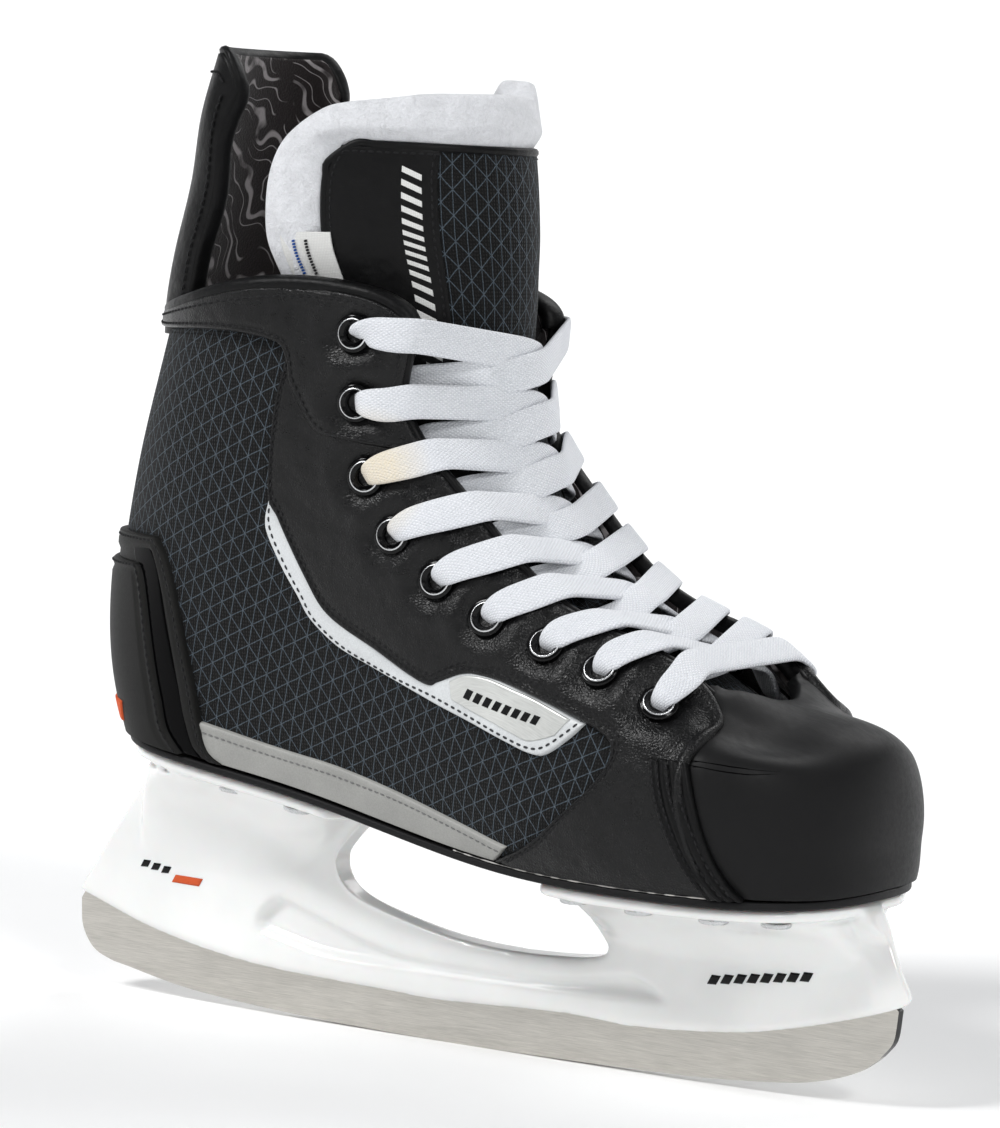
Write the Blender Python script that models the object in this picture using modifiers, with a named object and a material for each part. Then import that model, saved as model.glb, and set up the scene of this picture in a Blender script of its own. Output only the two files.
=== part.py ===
"""Ice hockey skate for the right foot: laced boot, plastic blade holder and steel runner.

The skate's frame is in metres: +X to the toe, -Y to the outer (lateral) side, +Z up, with the
origin on the ice under the middle of the runner. Sizes below are in millimetres.
"""
import math

import bmesh
import bpy
import numpy as np
from mathutils import Matrix, Vector

MM = 0.001
OBJECT_NAME = "ice_skate"

# Driving dimensions, in millimetres
RUNNER_THICKNESS = 3.0
RUNNER_SLOT_GAP = 0.35
HOLDER_THICKNESS = 11.0
RIVET_HOLE_RADIUS = 2.7
RIVET_POCKET_RADIUS, RIVET_POCKET_DEPTH, RIVET_POCKET_DROP = 5.2, 8.6, 11.5
BOLT_HEAD_RADIUS, BOLT_RADIUS, BOLT_HEAD_HEIGHT, BOLT_LIFT = 4.0, 2.3, 1.2, 0.9
BOLT_WELL_MIDDLE, BOLT_WELL_LENGTH = 55, 46
EYELET_HOLE_RADIUS = 3.6
OUTSOLE_TOP, OUTSOLE_THICKNESS = -0.7, 2.3
BOARD_TOP, BOARD_THICKNESS = 2.2, 2.0
FOOTBED_TOP, FOOTBED_THICKNESS = 8.2, 3.0
FLANGE_TOP, FLANGE_THICKNESS = -3.4, 3.6
LACE_RADIUS = 1.4
TOE_BEND = 5.0

# Layers of the upper, as distances (inner, outer) from the boot's nominal outer surface
LINING = (-5.4, -3.5)
QUARTER = (-2.65, -1.15)
OVERLAY = (0.0, 0.9)
SECOND_OVERLAY = (1.4, 2.2)
TAG = (2.8, 3.4)
CAP = (-2.6, 0.8)
TONGUE_FELT, TONGUE_FACING = (-8.4, -2.6), (-0.8, 0)
TENDON_SHELL, TENDON_LINING, TENDON_LINING_INSET = 1.8, 1.6, 2.6

# Boot rails: (x, half width, z) from the toe's tip round the outer side to the heel's back.
# Rail 0 is the feather line at the sole, rail 4 is the edge of the throat and the collar.
RAILS = (
    ((133.8, 0, 61.8), (128.2, 25, 61.2), (109, 42.3, 60.9), (75, 46, 61.1), (37, 41.5, 62.4),
     (0, 35.5, 67.3), (-34, 32.5, 73.6), (-62, 32, 78), (-84, 31, 81), (-102, 26, 83.3),
     (-114, 14.5, 84.8), (-118, 0, 85.2)),
    ((135.4, 0, 77), (129.8, 27.5, 76.5), (108, 47.3, 76.5), (75, 50.5, 76.5), (37, 46.5, 79),
     (0, 40.5, 87), (-32, 37.5, 95), (-57, 37, 101), (-78, 36.5, 104), (-99, 31.5, 106),
     (-117, 19, 107), (-124, 0, 108)),
    ((134.8, 0, 92), (128.8, 25, 91.5), (108, 44.5, 97), (76, 48.5, 98), (38, 46.5, 104),
     (0, 42.5, 116), (-28, 41.5, 130), (-48, 42, 141), (-66, 42, 143), (-90, 37, 143),
     (-114, 22, 143), (-124, 0, 143)),
    ((128, 0, 103.5), (123.5, 18, 101.5), (108, 32, 101), (76, 41, 114.5), (41, 41.5, 124),
     (3, 42, 145), (-20, 43.5, 167), (-30, 45, 188), (-52, 46, 187), (-80, 41.5, 183),
     (-104, 25, 182), (-115, 0, 182)),
    ((107, 0, 108.5), (105, 12, 108), (95.5, 25, 111.5), (78, 29.5, 124), (46, 31.5, 136.5),
     (16, 34.5, 163), (-4, 38.5, 190), (-3, 41, 214), (-38, 46, 221.5), (-70, 44.5, 217),
     (-95, 27, 212), (-106, 0, 212)),
)
TOE, HEEL, RAIL_TOP = 0, 11, 4
# Heights of the upper's rows of facets, closer together where the sides curve in to the throat
ROW_HEIGHTS = (0.04, 0.55, 1.1, 1.75, 2.4, 2.9, 3.3, 3.65, 4)
TURN = 2 * HEEL

# Outlines on the boot, as (station round the boot, height): station 0 is the toe's tip and 11
# the heel's back, height 0 is the sole and 4 the throat or collar edge.
CAP_EDGE = ((2.13, 0), (2.28, 0.85), (2.48, 1.53), (2.57, 1.96), (2.4, 2.28), (2.34, 2.71),
            (2.25, 3.3), (2.14, 4))
VAMP_FRONT = ((8.9, 4), (8.2, 4), (7.5, 4), (7.0, 4), (6.5, 4), (6.0, 4), (5.5, 4), (5.0, 4),
              (4.6, 4), (4.1, 4), (3.5, 4), (2.9, 4), (2.45, 3.75), (2.5, 2.75), (2.7, 2.0),
              (2.46, 0.9), (2.28, 0.03))
VAMP_BACK = ((9.0, 3.74), (8.42, 3.68), (7.8, 3.36), (7.5, 2.85), (7.2, 2.47), (6.55, 2.25),
             (5.9, 2.08), (5.24, 2.07), (4.76, 2.09), (4.48, 2.34), (4.05, 2.48), (3.5, 2.4),
             (3.08, 2.1), (3.2, 1.6), (3.48, 1.1), (3.82, 0.5), (4.15, 0.03))
HEEL_GUARD_EDGE = ((7.5, 0.03), (7.87, 0.54), (8.37, 1.3), (8.97, 1.99))
HEEL_TAG_EDGE = ((10.15, 0.3), (10.15, 0.6))
HEEL_STRAP_EDGE = ((8.1, 0.05), (8.3, 0.44), (8.85, 1.26), (9.26, 1.84))
STRIPE_TOP = ((7.12, 2.36), (6.5, 2.16), (5.9, 1.98), (5.24, 1.96), (4.72, 1.97), (4.4, 2.2),
              (4.04, 2.34), (3.5, 2.24))
STRIPE_BASE = ((7.14, 2.22), (6.6, 2.02), (6.1, 1.86), (5.6, 1.8), (4.98, 1.82), (4.29, 1.8),
               (3.88, 1.76), (3.62, 1.84))
FOXING_TOP = ((7.35, 0.5), (6.6, 0.5), (5.81, 0.54), (4.9, 0.53), (4.3, 0.45))
FOXING_BASE = ((7.2, 0.04), (6.5, 0.04), (5.81, 0.04), (4.9, 0.04), (4.45, 0.06))
EYELETS = ((7.21, 3.64), (6.45, 3.39), (5.76, 3.26), (5.24, 3.08), (4.77, 3.04), (4.34, 3.06),
           (3.86, 3.18), (3.34, 3.12), (2.8, 2.96))
LACE_AT_THROAT = (6.7, 5.95, 5.4, 4.9, 4.5, 4.1, 3.6, 3.15, 2.65)

# Steel runner in side view, and the holder above it
RUNNER_BOTTOM = ((-142, 27.2), (-141.3, 18.5), (-137, 12.1), (-130.5, 9.2), (-123.9, 7.9),
                 (-100.5, 3.9), (-70, 1.6), (-40, 0.5), (-5, 0), (5, 0), (40, 0.5), (78, 1.5),
                 (106, 3.7), (119, 6), (129, 9.4), (135, 13.3), (138.7, 16.9), (141, 20.6),
                 (142, 28.6))
RUNNER_TOP = ((136, 34), (104, 29), (103, 40), (89, 40), (88, 25.5), (59, 21.5), (20, 21),
              (-28, 20.5), (-74, 23), (-77, 43), (-91, 43), (-92, 26), (-112, 29.5), (-136, 37))
HOLDER_BASE = ((-140.5, 30), (-110.6, 20.8), (-74.5, 15), (-28, 13.2), (-6, 12.7), (35, 14.4),
               (59, 13.6), (90, 16), (110, 19.8), (130, 25.3), (143.7, 29.7), (147, 32.8))
HOLDER_FRONT = ((147.2, 35), (141.8, 46), (138, 53))
HOLDER_TOE_TOP, HOLDER_HEEL_TOP = ((138, 57), (56, 57)), ((-33, 70), (-107, 76))
WINDOW = ((55, 52), (48.5, 41), (50.3, 35.7), (47, 32.9), (37.5, 31.2), (16.5, 30.4),
          (-5.5, 32), (-28.2, 36.7), (-40, 41), (-44.6, 46), (-45.2, 52), (-37.2, 61.5),
          (-33, 66))
HOLDER_BACK = ((-115.3, 69), (-132, 44.2), (-139.8, 32))
# Sideways room of the holder's slot at each point of the runner's top edge
SLOT_SIDES = (0.5, 0.4, 0.4, -0.4, -0.4, 0, 0, 0, 0, 0.4, -0.4, -0.4, -0.4, -0.5)
# Pillars: (x back, x front, z at the back, z at the front, half width) from the base up
HEEL_PILLAR = ((-122, -62, 34, 34, 4.5), (-121, -55, 46, 46, 6.5), (-118, -47, 57, 56, 11),
               (-114, -42, 66, 63, 18), (-110, -36, 75, 69, 27))
TOE_PILLAR = ((66, 134, 30, 30, 4.5), (62, 138, 38, 38, 7), (57, 138, 46, 46, 15),
              (53, 138, 51, 51, 24), (50, 138, 55.5, 57, 33))
HEEL_FLANGE, TOE_FLANGE = (-117, -33), (47, 132)
HEEL_RIVETS, TOE_RIVETS = (-91, -69.3, -45.3), (55, 76.5, 99, 115)
HEEL_RIVET_INSET, TOE_RIVET_INSET = 9, 11
REAR_BOLT, FRONT_BOLT = (-84, 43), (96, 40)

# Tongue stations from the toe end up: middle (x, z) and side edge (x, half width, z)
TONGUE = (
    ((96, 106.5), (87, 19, 98)), ((62, 128), (52, 26, 108)), ((28, 153), (9, 28.5, 128)),
    ((13, 194), (-30, 31, 180)), ((12, 221), (-48, 36, 221)), ((11, 240), (-52.5, 41, 240)),
    ((8, 262), (-47, 41, 263)), ((2, 279), (-26, 33, 277)),
)
TONGUE_SPLIT, TONGUE_SPLIT_GAP = 4.0, 0.03
FACING_REACH = 0.85
LABEL_LOW, LABEL_HIGH, LABEL_EDGE, LABEL_WIDTH = 4.08, 4.9, -0.98, 0.1
TONGUE_HINGE = (13, 221)
# Tendon guard: (z, rear x, side edge x, half width)
TENDON = ((215.5, -107, -86, 30), (230, -103.5, -83, 31), (250, -98.5, -77.5, 31),
          (270, -95, -76, 31), (288, -91, -71.5, 29))
TENDON_HINGE = (-108, 214.5)

MATERIALS = {
    "black_leather": ((0.012, 0.012, 0.013), 0.45, 0.0),
    "black_mesh": ((0.016, 0.017, 0.02), 0.75, 0.0),
    "black_plastic": ((0.014, 0.014, 0.015), 0.4, 0.0),
    "cap_plastic": ((0.018, 0.018, 0.019), 0.55, 0.0),
    "white_plastic": ((0.82, 0.83, 0.82), 0.22, 0.0),
    "steel": ((0.55, 0.54, 0.51), 0.35, 1.0),
    "silver": ((0.6, 0.62, 0.62), 0.4, 0.3),
    "grey_trim": ((0.42, 0.42, 0.41), 0.6, 0.0),
    "orange_tag": ((0.75, 0.13, 0.04), 0.6, 0.0),
    "white_felt": ((0.8, 0.81, 0.83), 0.95, 0.0),
    "white_lace": ((0.82, 0.83, 0.86), 0.9, 0.0),
    "white_label": ((0.85, 0.85, 0.85), 0.8, 0.0),
    "dark_lining": ((0.03, 0.026, 0.026), 0.9, 0.0),
    "rivet_steel": ((0.6, 0.6, 0.6), 0.3, 1.0),
    "eyelet_metal": ((0.03, 0.03, 0.032), 0.3, 0.8),
    "foam": ((0.08, 0.08, 0.09), 0.9, 0.0),
    "fibre_board": ((0.3, 0.26, 0.2), 0.85, 0.0),
}


def clear_scene():
    for item in list(bpy.data.objects):
        bpy.data.objects.remove(item, do_unlink=True)


def collection(name):
    group = bpy.data.collections.new(name)
    bpy.context.scene.collection.children.link(group)
    return group


clear_scene()
PARTS = collection(OBJECT_NAME)
CUTTERS = collection("cutters")


def material(name):
    found = bpy.data.materials.get(name)
    if found:
        return found
    colour, roughness, metallic = MATERIALS[name]
    made = bpy.data.materials.new(name)
    made.use_nodes = True
    shader = made.node_tree.nodes["Principled BSDF"]
    shader.inputs["Base Color"].default_value = (*colour, 1)
    shader.inputs["Roughness"].default_value = roughness
    shader.inputs["Metallic"].default_value = metallic
    return made


def add_part(name, data, finish, group=None):
    """Link a mesh or curve as an object of the model."""
    item = bpy.data.objects.new(name, data)
    (group or PARTS).objects.link(item)
    if finish:
        data.materials.append(material(finish))
    return item


def make_cutter(item):
    item.hide_render = True
    item.display_type = "WIRE"
    return item


def boolean(item, other, operation="DIFFERENCE"):
    step = item.modifiers.new(operation.lower(), "BOOLEAN")
    step.operation = operation
    step.object = other
    step.solver = "EXACT"


def catmull(points, places):
    """Points on the smooth curve through the given points, at places 0 ... len - 1."""
    points = np.asarray(points, float)
    ends = np.vstack([2 * points[0] - points[1], points, 2 * points[-1] - points[-2]])
    found = []
    for place in places:
        k = min(max(int(place), 0), len(points) - 2)
        t = place - k
        a, b, c, d = ends[k:k + 4]
        found.append(0.5 * (2 * b + (c - a) * t + (2 * a - 5 * b + 4 * c - d) * t ** 2
                            + (3 * b - a - 3 * c + d) * t ** 3))
    return np.array(found)


# ---------------------------------------------------------------- boot surface

def spline_matrix(count, closed):
    """Second derivatives of a cubic spline through evenly spaced values, as a matrix."""
    left, right = np.eye(count), np.zeros((count, count))
    for i in range(count):
        if closed or 0 < i < count - 1:
            left[i, i], left[i, i - 1], left[i, (i + 1) % count] = 4, 1, 1
            right[i, i], right[i, i - 1], right[i, (i + 1) % count] = -12, 6, 6
    return np.linalg.solve(left, right)


def spline_weights(bends, place, closed):
    count = len(bends)
    k = math.floor(place) if closed else min(max(math.floor(place), 0), count - 2)
    t = place - k
    here, there = k % count, (k + 1) % count
    weights = ((1 - t) ** 3 - (1 - t)) / 6 * bends[here] + (t ** 3 - t) / 6 * bends[there]
    weights[here] += 1 - t
    weights[there] += t
    return weights


def ring(rail):
    outer = [(x, -half, z) for x, half, z in rail]
    return outer + [(x, half, z) for x, half, z in rail[-2:0:-1]]


NET = np.array([ring(rail) for rail in RAILS], float)
ROUND_BENDS, UP_BENDS = spline_matrix(TURN, True), spline_matrix(RAIL_TOP + 1, False)


def toe_bend(x):
    """The last curves inwards, towards +Y, ahead of the arch."""
    return TOE_BEND * max(0.0, (x + 20) / 160) ** 2


def straight_boot(station, height):
    across = spline_weights(ROUND_BENDS, station, True)
    up = spline_weights(UP_BENDS, height, False)
    return np.einsum("j,i,jik->k", up, across, NET)


def boot_normal(station, height):
    step = 0.002
    low, high = max(min(height, RAIL_TOP) - step, 0), min(height + step, RAIL_TOP)
    round_boot = straight_boot(station + step, low) - straight_boot(station - step, low)
    upwards = straight_boot(station, high) - straight_boot(station, low)
    normal = np.cross(upwards, round_boot)
    return normal / np.linalg.norm(normal)


def boot(station, height, out=0.0):
    """Point on the boot, moved out along its normal."""
    x, y, z = straight_boot(station, height) + out * boot_normal(station, height)
    return np.array((x, y + toe_bend(x), z))


SOLE_LINE = np.array([straight_boot(k / 10, 0) for k in range(HEEL * 10, -1, -1)])


def sole_half(x):
    return float(np.interp(x, SOLE_LINE[:, 0], -SOLE_LINE[:, 1]))


def sole_z(x):
    return float(np.interp(x, SOLE_LINE[:, 0], SOLE_LINE[:, 2]))


def sole_slope(x):
    return math.atan2(sole_z(x + 4) - sole_z(x - 4), 8)


# ---------------------------------------------------------------- sheets and plates

def grid_mesh(name, columns, rows, place, front, close=False):
    """A grid whose corner (s, t), each from 0 to 1, lies at place(s, t) in millimetres.

    front is the direction that the middle of the sheet faces.
    """
    middle, step = np.array(place(0.5, 0.5)), 0.01
    across, up = place(0.5 + step, 0.5) - middle, place(0.5, 0.5 + step) - middle
    mesh = bpy.data.meshes.new(name)
    work = bmesh.new()
    bmesh.ops.create_grid(work, x_segments=columns, y_segments=rows, size=1)
    for corner in work.verts:
        s, t = (corner.co.x + 1) / 2, (corner.co.y + 1) / 2
        corner.co = Vector(place(s, t)) * MM
    if close:
        bmesh.ops.remove_doubles(work, verts=work.verts, dist=1e-6)
    if np.dot(np.cross(across, up), front) < 0:
        bmesh.ops.reverse_faces(work, faces=work.faces)
    work.to_mesh(mesh)
    work.free()
    mesh.shade_smooth()
    return mesh


def thick_sheet(name, mesh, thickness, finish):
    """A sheet given its thickness on the inner side."""
    item = add_part(name, mesh, finish)
    solid = item.modifiers.new("thickness", "SOLIDIFY")
    solid.thickness = thickness * MM
    solid.offset = -1
    return item


def boot_panel(name, first, second, layer, finish, inner_side=False, columns=16, rows=4):
    """A panel of the upper between two outlines that run side by side along the boot."""
    def spot(s, t):
        a = catmull(first, [s * (len(first) - 1)])[0]
        b = catmull(second, [s * (len(second) - 1)])[0]
        station, height = a + (b - a) * t
        return TURN - station if inner_side else station, min(max(height, 0), RAIL_TOP)

    def place(s, t):
        return boot(*spot(s, t), layer[1])
    mesh = grid_mesh(name, columns, rows, place, boot_normal(*spot(0.5, 0.5)))
    return thick_sheet(name, mesh, layer[1] - layer[0], finish)


def row_height(share):
    return float(np.interp(share, np.linspace(0, 1, len(ROW_HEIGHTS)), ROW_HEIGHTS))


def edge_station(edge, height):
    return float(np.interp(height, [h for _, h in edge], [s for s, _ in edge]))


def wrapped_panel(name, edge, centre, low, high, layer, finish, columns, rows):
    """A panel that wraps the toe or the heel between its edge and the edge's mirror image."""
    def place(s, t):
        height = row_height(t) if high == RAIL_TOP else low + (high - low) * t
        reach = abs(edge_station(edge, height) - centre)
        return boot(centre + reach * (2 * s - 1), height, layer[1])
    mesh = grid_mesh(name, columns, rows, place, boot_normal(centre, (low + high) / 2))
    return thick_sheet(name, mesh, layer[1] - layer[0], finish)


def sole_plate(name, back, front, inset, top, thickness, finish, columns=18, rows=2):
    """A plate that follows the sole's curve in side view and its outline in plan."""
    def place(s, t):
        x = (back + front) / 2 - (front - back) / 2 * math.cos(math.pi * s)
        half = max(sole_half(x) - inset, 2.5)
        return np.array((x, toe_bend(x) + (2 * t - 1) * half, sole_z(x) + top))
    mesh = grid_mesh(name, columns, rows, place, (0, 0, 1))
    return thick_sheet(name, mesh, thickness, finish)


def side_profile(name, outline, thickness, finish):
    """A flat plate cut to a side-view outline, standing in the X-Z plane."""
    curve = bpy.data.curves.new(name, "CURVE")
    curve.dimensions = "2D"
    curve.fill_mode = "BOTH"
    curve.extrude = thickness / 2 * MM
    path = curve.splines.new("POLY")
    path.points.add(len(outline) - 1)
    path.use_cyclic_u = True
    for point, (x, z) in zip(path.points, outline):
        point.co = (x * MM, z * MM, 0, 1)
    item = bpy.data.objects.new(name, curve)
    PARTS.objects.link(item)
    item.rotation_euler = (math.pi / 2, 0, 0)
    bpy.context.view_layer.update()
    seen = item.evaluated_get(bpy.context.evaluated_depsgraph_get())
    mesh = bpy.data.meshes.new_from_object(seen)
    mesh.transform(item.matrix_world)
    bpy.data.objects.remove(item, do_unlink=True)
    work = bmesh.new()
    work.from_mesh(mesh)
    bmesh.ops.remove_doubles(work, verts=work.verts, dist=1e-6)
    bmesh.ops.recalc_face_normals(work, faces=work.faces)
    work.to_mesh(mesh)
    work.free()
    mesh.materials.clear()
    return add_part(name, mesh, finish)


def turned_mesh(name, profile, steps):
    """A profile of (radius, z) points turned round the Z axis, open if it ends on the axis."""
    edges = [(i, i + 1) for i in range(len(profile) - 1)]
    if profile[0][0] > 0:
        edges.append((len(profile) - 1, 0))
    mesh = bpy.data.meshes.new(name + "_profile")
    mesh.from_pydata([(r * MM, 0, z * MM) for r, z in profile], edges, [])
    item = bpy.data.objects.new(name + "_profile", mesh)
    CUTTERS.objects.link(item)
    screw = item.modifiers.new("turn", "SCREW")
    screw.steps = screw.render_steps = steps
    screw.use_merge_vertices = True
    screw.merge_threshold = 1e-6
    bpy.context.view_layer.update()
    seen = item.evaluated_get(bpy.context.evaluated_depsgraph_get())
    turned = bpy.data.meshes.new_from_object(seen)
    bpy.data.objects.remove(item, do_unlink=True)
    work = bmesh.new()
    work.from_mesh(turned)
    bmesh.ops.remove_doubles(work, verts=work.verts, dist=1e-6)
    bmesh.ops.recalc_face_normals(work, faces=work.faces)
    work.to_mesh(turned)
    work.free()
    turned.name = name
    turned.shade_smooth()
    return turned


def rod_cutter(name, places, radius, length):
    """One cutter holding a rod for each (point, direction)."""
    mesh = bpy.data.meshes.new(name)
    work = bmesh.new()
    for point, direction in places:
        turn = Vector(direction).to_track_quat("Z", "Y").to_matrix().to_4x4()
        bmesh.ops.create_cone(work, cap_ends=True, segments=8, radius1=radius * MM,
                              radius2=radius * MM, depth=length * MM,
                              matrix=Matrix.Translation(Vector(point) * MM) @ turn)
    work.to_mesh(mesh)
    work.free()
    return make_cutter(add_part(name, mesh, None, CUTTERS))


# ---------------------------------------------------------------- blade and holder

def sole_normal(x):
    slope = sole_slope(x)
    return -math.sin(slope), 0, math.cos(slope)


def rivet_places():
    places = []
    for label, rows, inset in (("heel", HEEL_RIVETS, HEEL_RIVET_INSET),
                               ("toe", TOE_RIVETS, TOE_RIVET_INSET)):
        for number, x in enumerate(rows, 1):
            half = sole_half(x) - inset
            for side, sign in (("outer", -1), ("inner", 1)):
                place = (x, toe_bend(x) + sign * half, sole_z(x))
                places.append((f"rivet_{label}_{side}_{number}", place, sole_normal(x)))
    return places


def make_fastener_holes():
    holes = [(place, normal) for _, place, normal in rivet_places()]
    holes += [((x, 0, sole_z(x)), (0, 0, 1)) for x, _ in (REAR_BOLT, FRONT_BOLT)]
    return rod_cutter("fastener_holes", holes, RIVET_HOLE_RADIUS, 30)


def pillar(name, stations):
    """A post lofted up through rounded rectangles to its flange."""
    corners, roundness = 16, 0.6
    mesh = bpy.data.meshes.new(name)
    work = bmesh.new()
    rings = []
    for back, front, z_back, z_front, half in stations:
        loop = []
        for k in range(corners):
            angle = 2 * math.pi * k / corners
            run = math.copysign(abs(math.cos(angle)) ** roundness, math.cos(angle))
            side = math.copysign(abs(math.sin(angle)) ** roundness, math.sin(angle))
            share = (run + 1) / 2
            x = back + (front - back) * share
            lean = half / TOE_PILLAR[-1][-1] if x > 0 else 0
            y = toe_bend(x) * lean + side * half
            loop.append(work.verts.new(Vector((x, y, z_back + (z_front - z_back) * share)) * MM))
        rings.append(loop)
    for low, high in zip(rings, rings[1:]):
        for k in range(corners):
            n = (k + 1) % corners
            work.faces.new((low[k], low[n], high[n], high[k]))
    work.faces.new(rings[0][::-1])
    work.faces.new(rings[-1])
    bmesh.ops.recalc_face_normals(work, faces=work.faces)
    work.to_mesh(mesh)
    work.free()
    return make_cutter(add_part(name, mesh, None, CUTTERS))


def flange(name, span):
    item = sole_plate(name, *span, 1.2, FLANGE_TOP, FLANGE_THICKNESS, None, 12, 3)
    PARTS.objects.unlink(item)
    CUTTERS.objects.link(item)
    return make_cutter(item)


def make_blade_holder(holes):
    outline = HOLDER_BASE + HOLDER_FRONT + HOLDER_TOE_TOP + WINDOW + HOLDER_HEEL_TOP
    outline += HOLDER_BACK
    holder = side_profile("blade_holder", outline, HOLDER_THICKNESS, "white_plastic")
    for extra in (pillar("heel_pillar", HEEL_PILLAR), pillar("toe_pillar", TOE_PILLAR),
                  flange("heel_flange", HEEL_FLANGE), flange("toe_flange", TOE_FLANGE)):
        boolean(holder, extra, "UNION")
    tips = [math.copysign(0.5, x) if abs(x) > 138 else 0 for x, _ in RUNNER_BOTTOM]
    grown = tuple((x + tip, z) for (x, z), tip in zip(RUNNER_BOTTOM, tips))
    top = tuple((x + off, z + RUNNER_SLOT_GAP) for (x, z), off in zip(RUNNER_TOP, SLOT_SIDES))
    slot = side_profile("runner_slot", grown + top,
                        RUNNER_THICKNESS + 2 * RUNNER_SLOT_GAP, None)
    PARTS.objects.unlink(slot)
    CUTTERS.objects.link(slot)
    boolean(holder, make_cutter(slot))
    boolean(holder, holes)
    wells = [((x, 0, BOLT_WELL_MIDDLE), (0, 0, 1)) for x, _ in (REAR_BOLT, FRONT_BOLT)]
    boolean(holder, rod_cutter("bolt_wells", wells, RIVET_HOLE_RADIUS, BOLT_WELL_LENGTH))
    pockets = [(np.array(place) - np.array(normal) * RIVET_POCKET_DROP, normal)
               for _, place, normal in rivet_places()]
    boolean(holder, rod_cutter("rivet_pockets", pockets, RIVET_POCKET_RADIUS,
                               RIVET_POCKET_DEPTH))


# Turned profiles, as (radius, height)
RIVET_PROFILE = ((0, 3.4), (2.7, 3.4), (2.7, 2.55), (2.0, 2.55), (2.0, -7.5), (4.5, -7.5),
                 (4.2, -8.3), (2.6, -8.9), (0, -9))


def make_rivets():
    shared = turned_mesh("rivet", RIVET_PROFILE, 8)
    shared.materials.append(material("rivet_steel"))
    for name, place, normal in rivet_places():
        item = add_part(name, shared, None)
        turn = Vector(normal).to_track_quat("Z", "Y").to_matrix().to_4x4()
        item.matrix_world = Matrix.Translation(Vector(place) * MM) @ turn


def make_bolts():
    """Bolts that pull the runner's tabs up into the pillars, reached under the footbed."""
    for name, (x, tab) in (("blade_bolt_rear", REAR_BOLT), ("blade_bolt_front", FRONT_BOLT)):
        seat = sole_z(x) + BOARD_TOP + BOLT_LIFT
        top, tip = seat + BOLT_HEAD_HEIGHT, tab + 1
        profile = ((0, top), (BOLT_HEAD_RADIUS, top), (BOLT_HEAD_RADIUS, seat),
                   (BOLT_RADIUS, seat), (BOLT_RADIUS, tip), (0, tip))
        mesh = turned_mesh(name, profile, 10)
        item = add_part(name, mesh, "rivet_steel")
        item.location = (x * MM, 0, 0)


# ---------------------------------------------------------------- upper

def make_quarter(name, inner_side):
    """One side of the boot, from behind the toe cap to the middle of the heel."""
    def place(s, t):
        height = row_height(s)
        front = edge_station(CAP_EDGE, height) + 0.14
        station = front + (HEEL - 0.03 - front) * t
        return boot(TURN - station if inner_side else station, height, QUARTER[1])
    mesh = grid_mesh(name, 8, 17, place, (0, 1 if inner_side else -1, 0))
    return thick_sheet(name, mesh, QUARTER[1] - QUARTER[0], "black_mesh")


def make_upper(eyelet_holes):
    def lining_place(s, t):
        return boot(TURN * s, row_height(t), LINING[1])
    mesh = grid_mesh("lining", 44, 8, lining_place, (-1, 0, 0), close=True)
    lining = thick_sheet("lining", mesh, LINING[1] - LINING[0], "dark_lining")
    boolean(lining, eyelet_holes)
    for side, inner_side in (("outer", False), ("inner", True)):
        quarter = make_quarter(f"quarter_{side}", inner_side)
        vamp = boot_panel(f"vamp_{side}", VAMP_FRONT, VAMP_BACK, OVERLAY, "black_leather",
                          inner_side, columns=30, rows=5)
        boolean(quarter, eyelet_holes)
        boolean(vamp, eyelet_holes)
        boot_panel(f"side_stripe_{side}", STRIPE_TOP, STRIPE_BASE, OVERLAY, "silver",
                   inner_side, columns=14, rows=1)
        boot_panel(f"foxing_strip_{side}", FOXING_TOP, FOXING_BASE, OVERLAY, "grey_trim",
                   inner_side, columns=10, rows=1)
    wrapped_panel("toe_cap", CAP_EDGE, TOE, 0.03, RAIL_TOP, CAP, "cap_plastic", 14, 8)
    wrapped_panel("heel_guard", HEEL_GUARD_EDGE, HEEL, 0.03, 1.99, OVERLAY, "black_plastic",
                  14, 6)
    wrapped_panel("heel_strap", HEEL_STRAP_EDGE, HEEL, 0.08, 1.84, SECOND_OVERLAY,
                  "black_plastic", 12, 5)
    wrapped_panel("heel_tag", HEEL_TAG_EDGE, HEEL, HEEL_TAG_EDGE[0][1], HEEL_TAG_EDGE[1][1],
                  TAG, "orange_tag", 4, 1)


def eyelet_places():
    places = []
    for number, (station, height) in enumerate(EYELETS, 1):
        for side, where in (("outer", station), ("inner", TURN - station)):
            places.append((f"eyelet_{side}_{number}", where, height))
    return places


EYELET_PROFILE = ((2.4, -7.1), (3.9, -7.1), (3.9, -6.6), (2.95, -6.6), (2.95, 1.4), (5, 1.4),
                  (4.8, 1.9), (2.4, 2.1))


def make_eyelet_holes():
    places = [(boot(s, h, -2.3), boot_normal(s, h)) for _, s, h in eyelet_places()]
    return rod_cutter("eyelet_holes", places, EYELET_HOLE_RADIUS, 10)


def make_eyelets():
    shared = turned_mesh("eyelet", EYELET_PROFILE, 8)
    shared.materials.append(material("eyelet_metal"))
    for name, station, height in eyelet_places():
        item = add_part(name, shared, None)
        turn = Vector(boot_normal(station, height)).to_track_quat("Z", "Y").to_matrix()
        place = Vector(boot(station, height)) * MM
        item.matrix_world = Matrix.Translation(place) @ turn.to_4x4()


# ---------------------------------------------------------------- tongue and tendon guard

TONGUE_TABLE = np.array([(*middle, *edge) for middle, edge in TONGUE], float)


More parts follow.
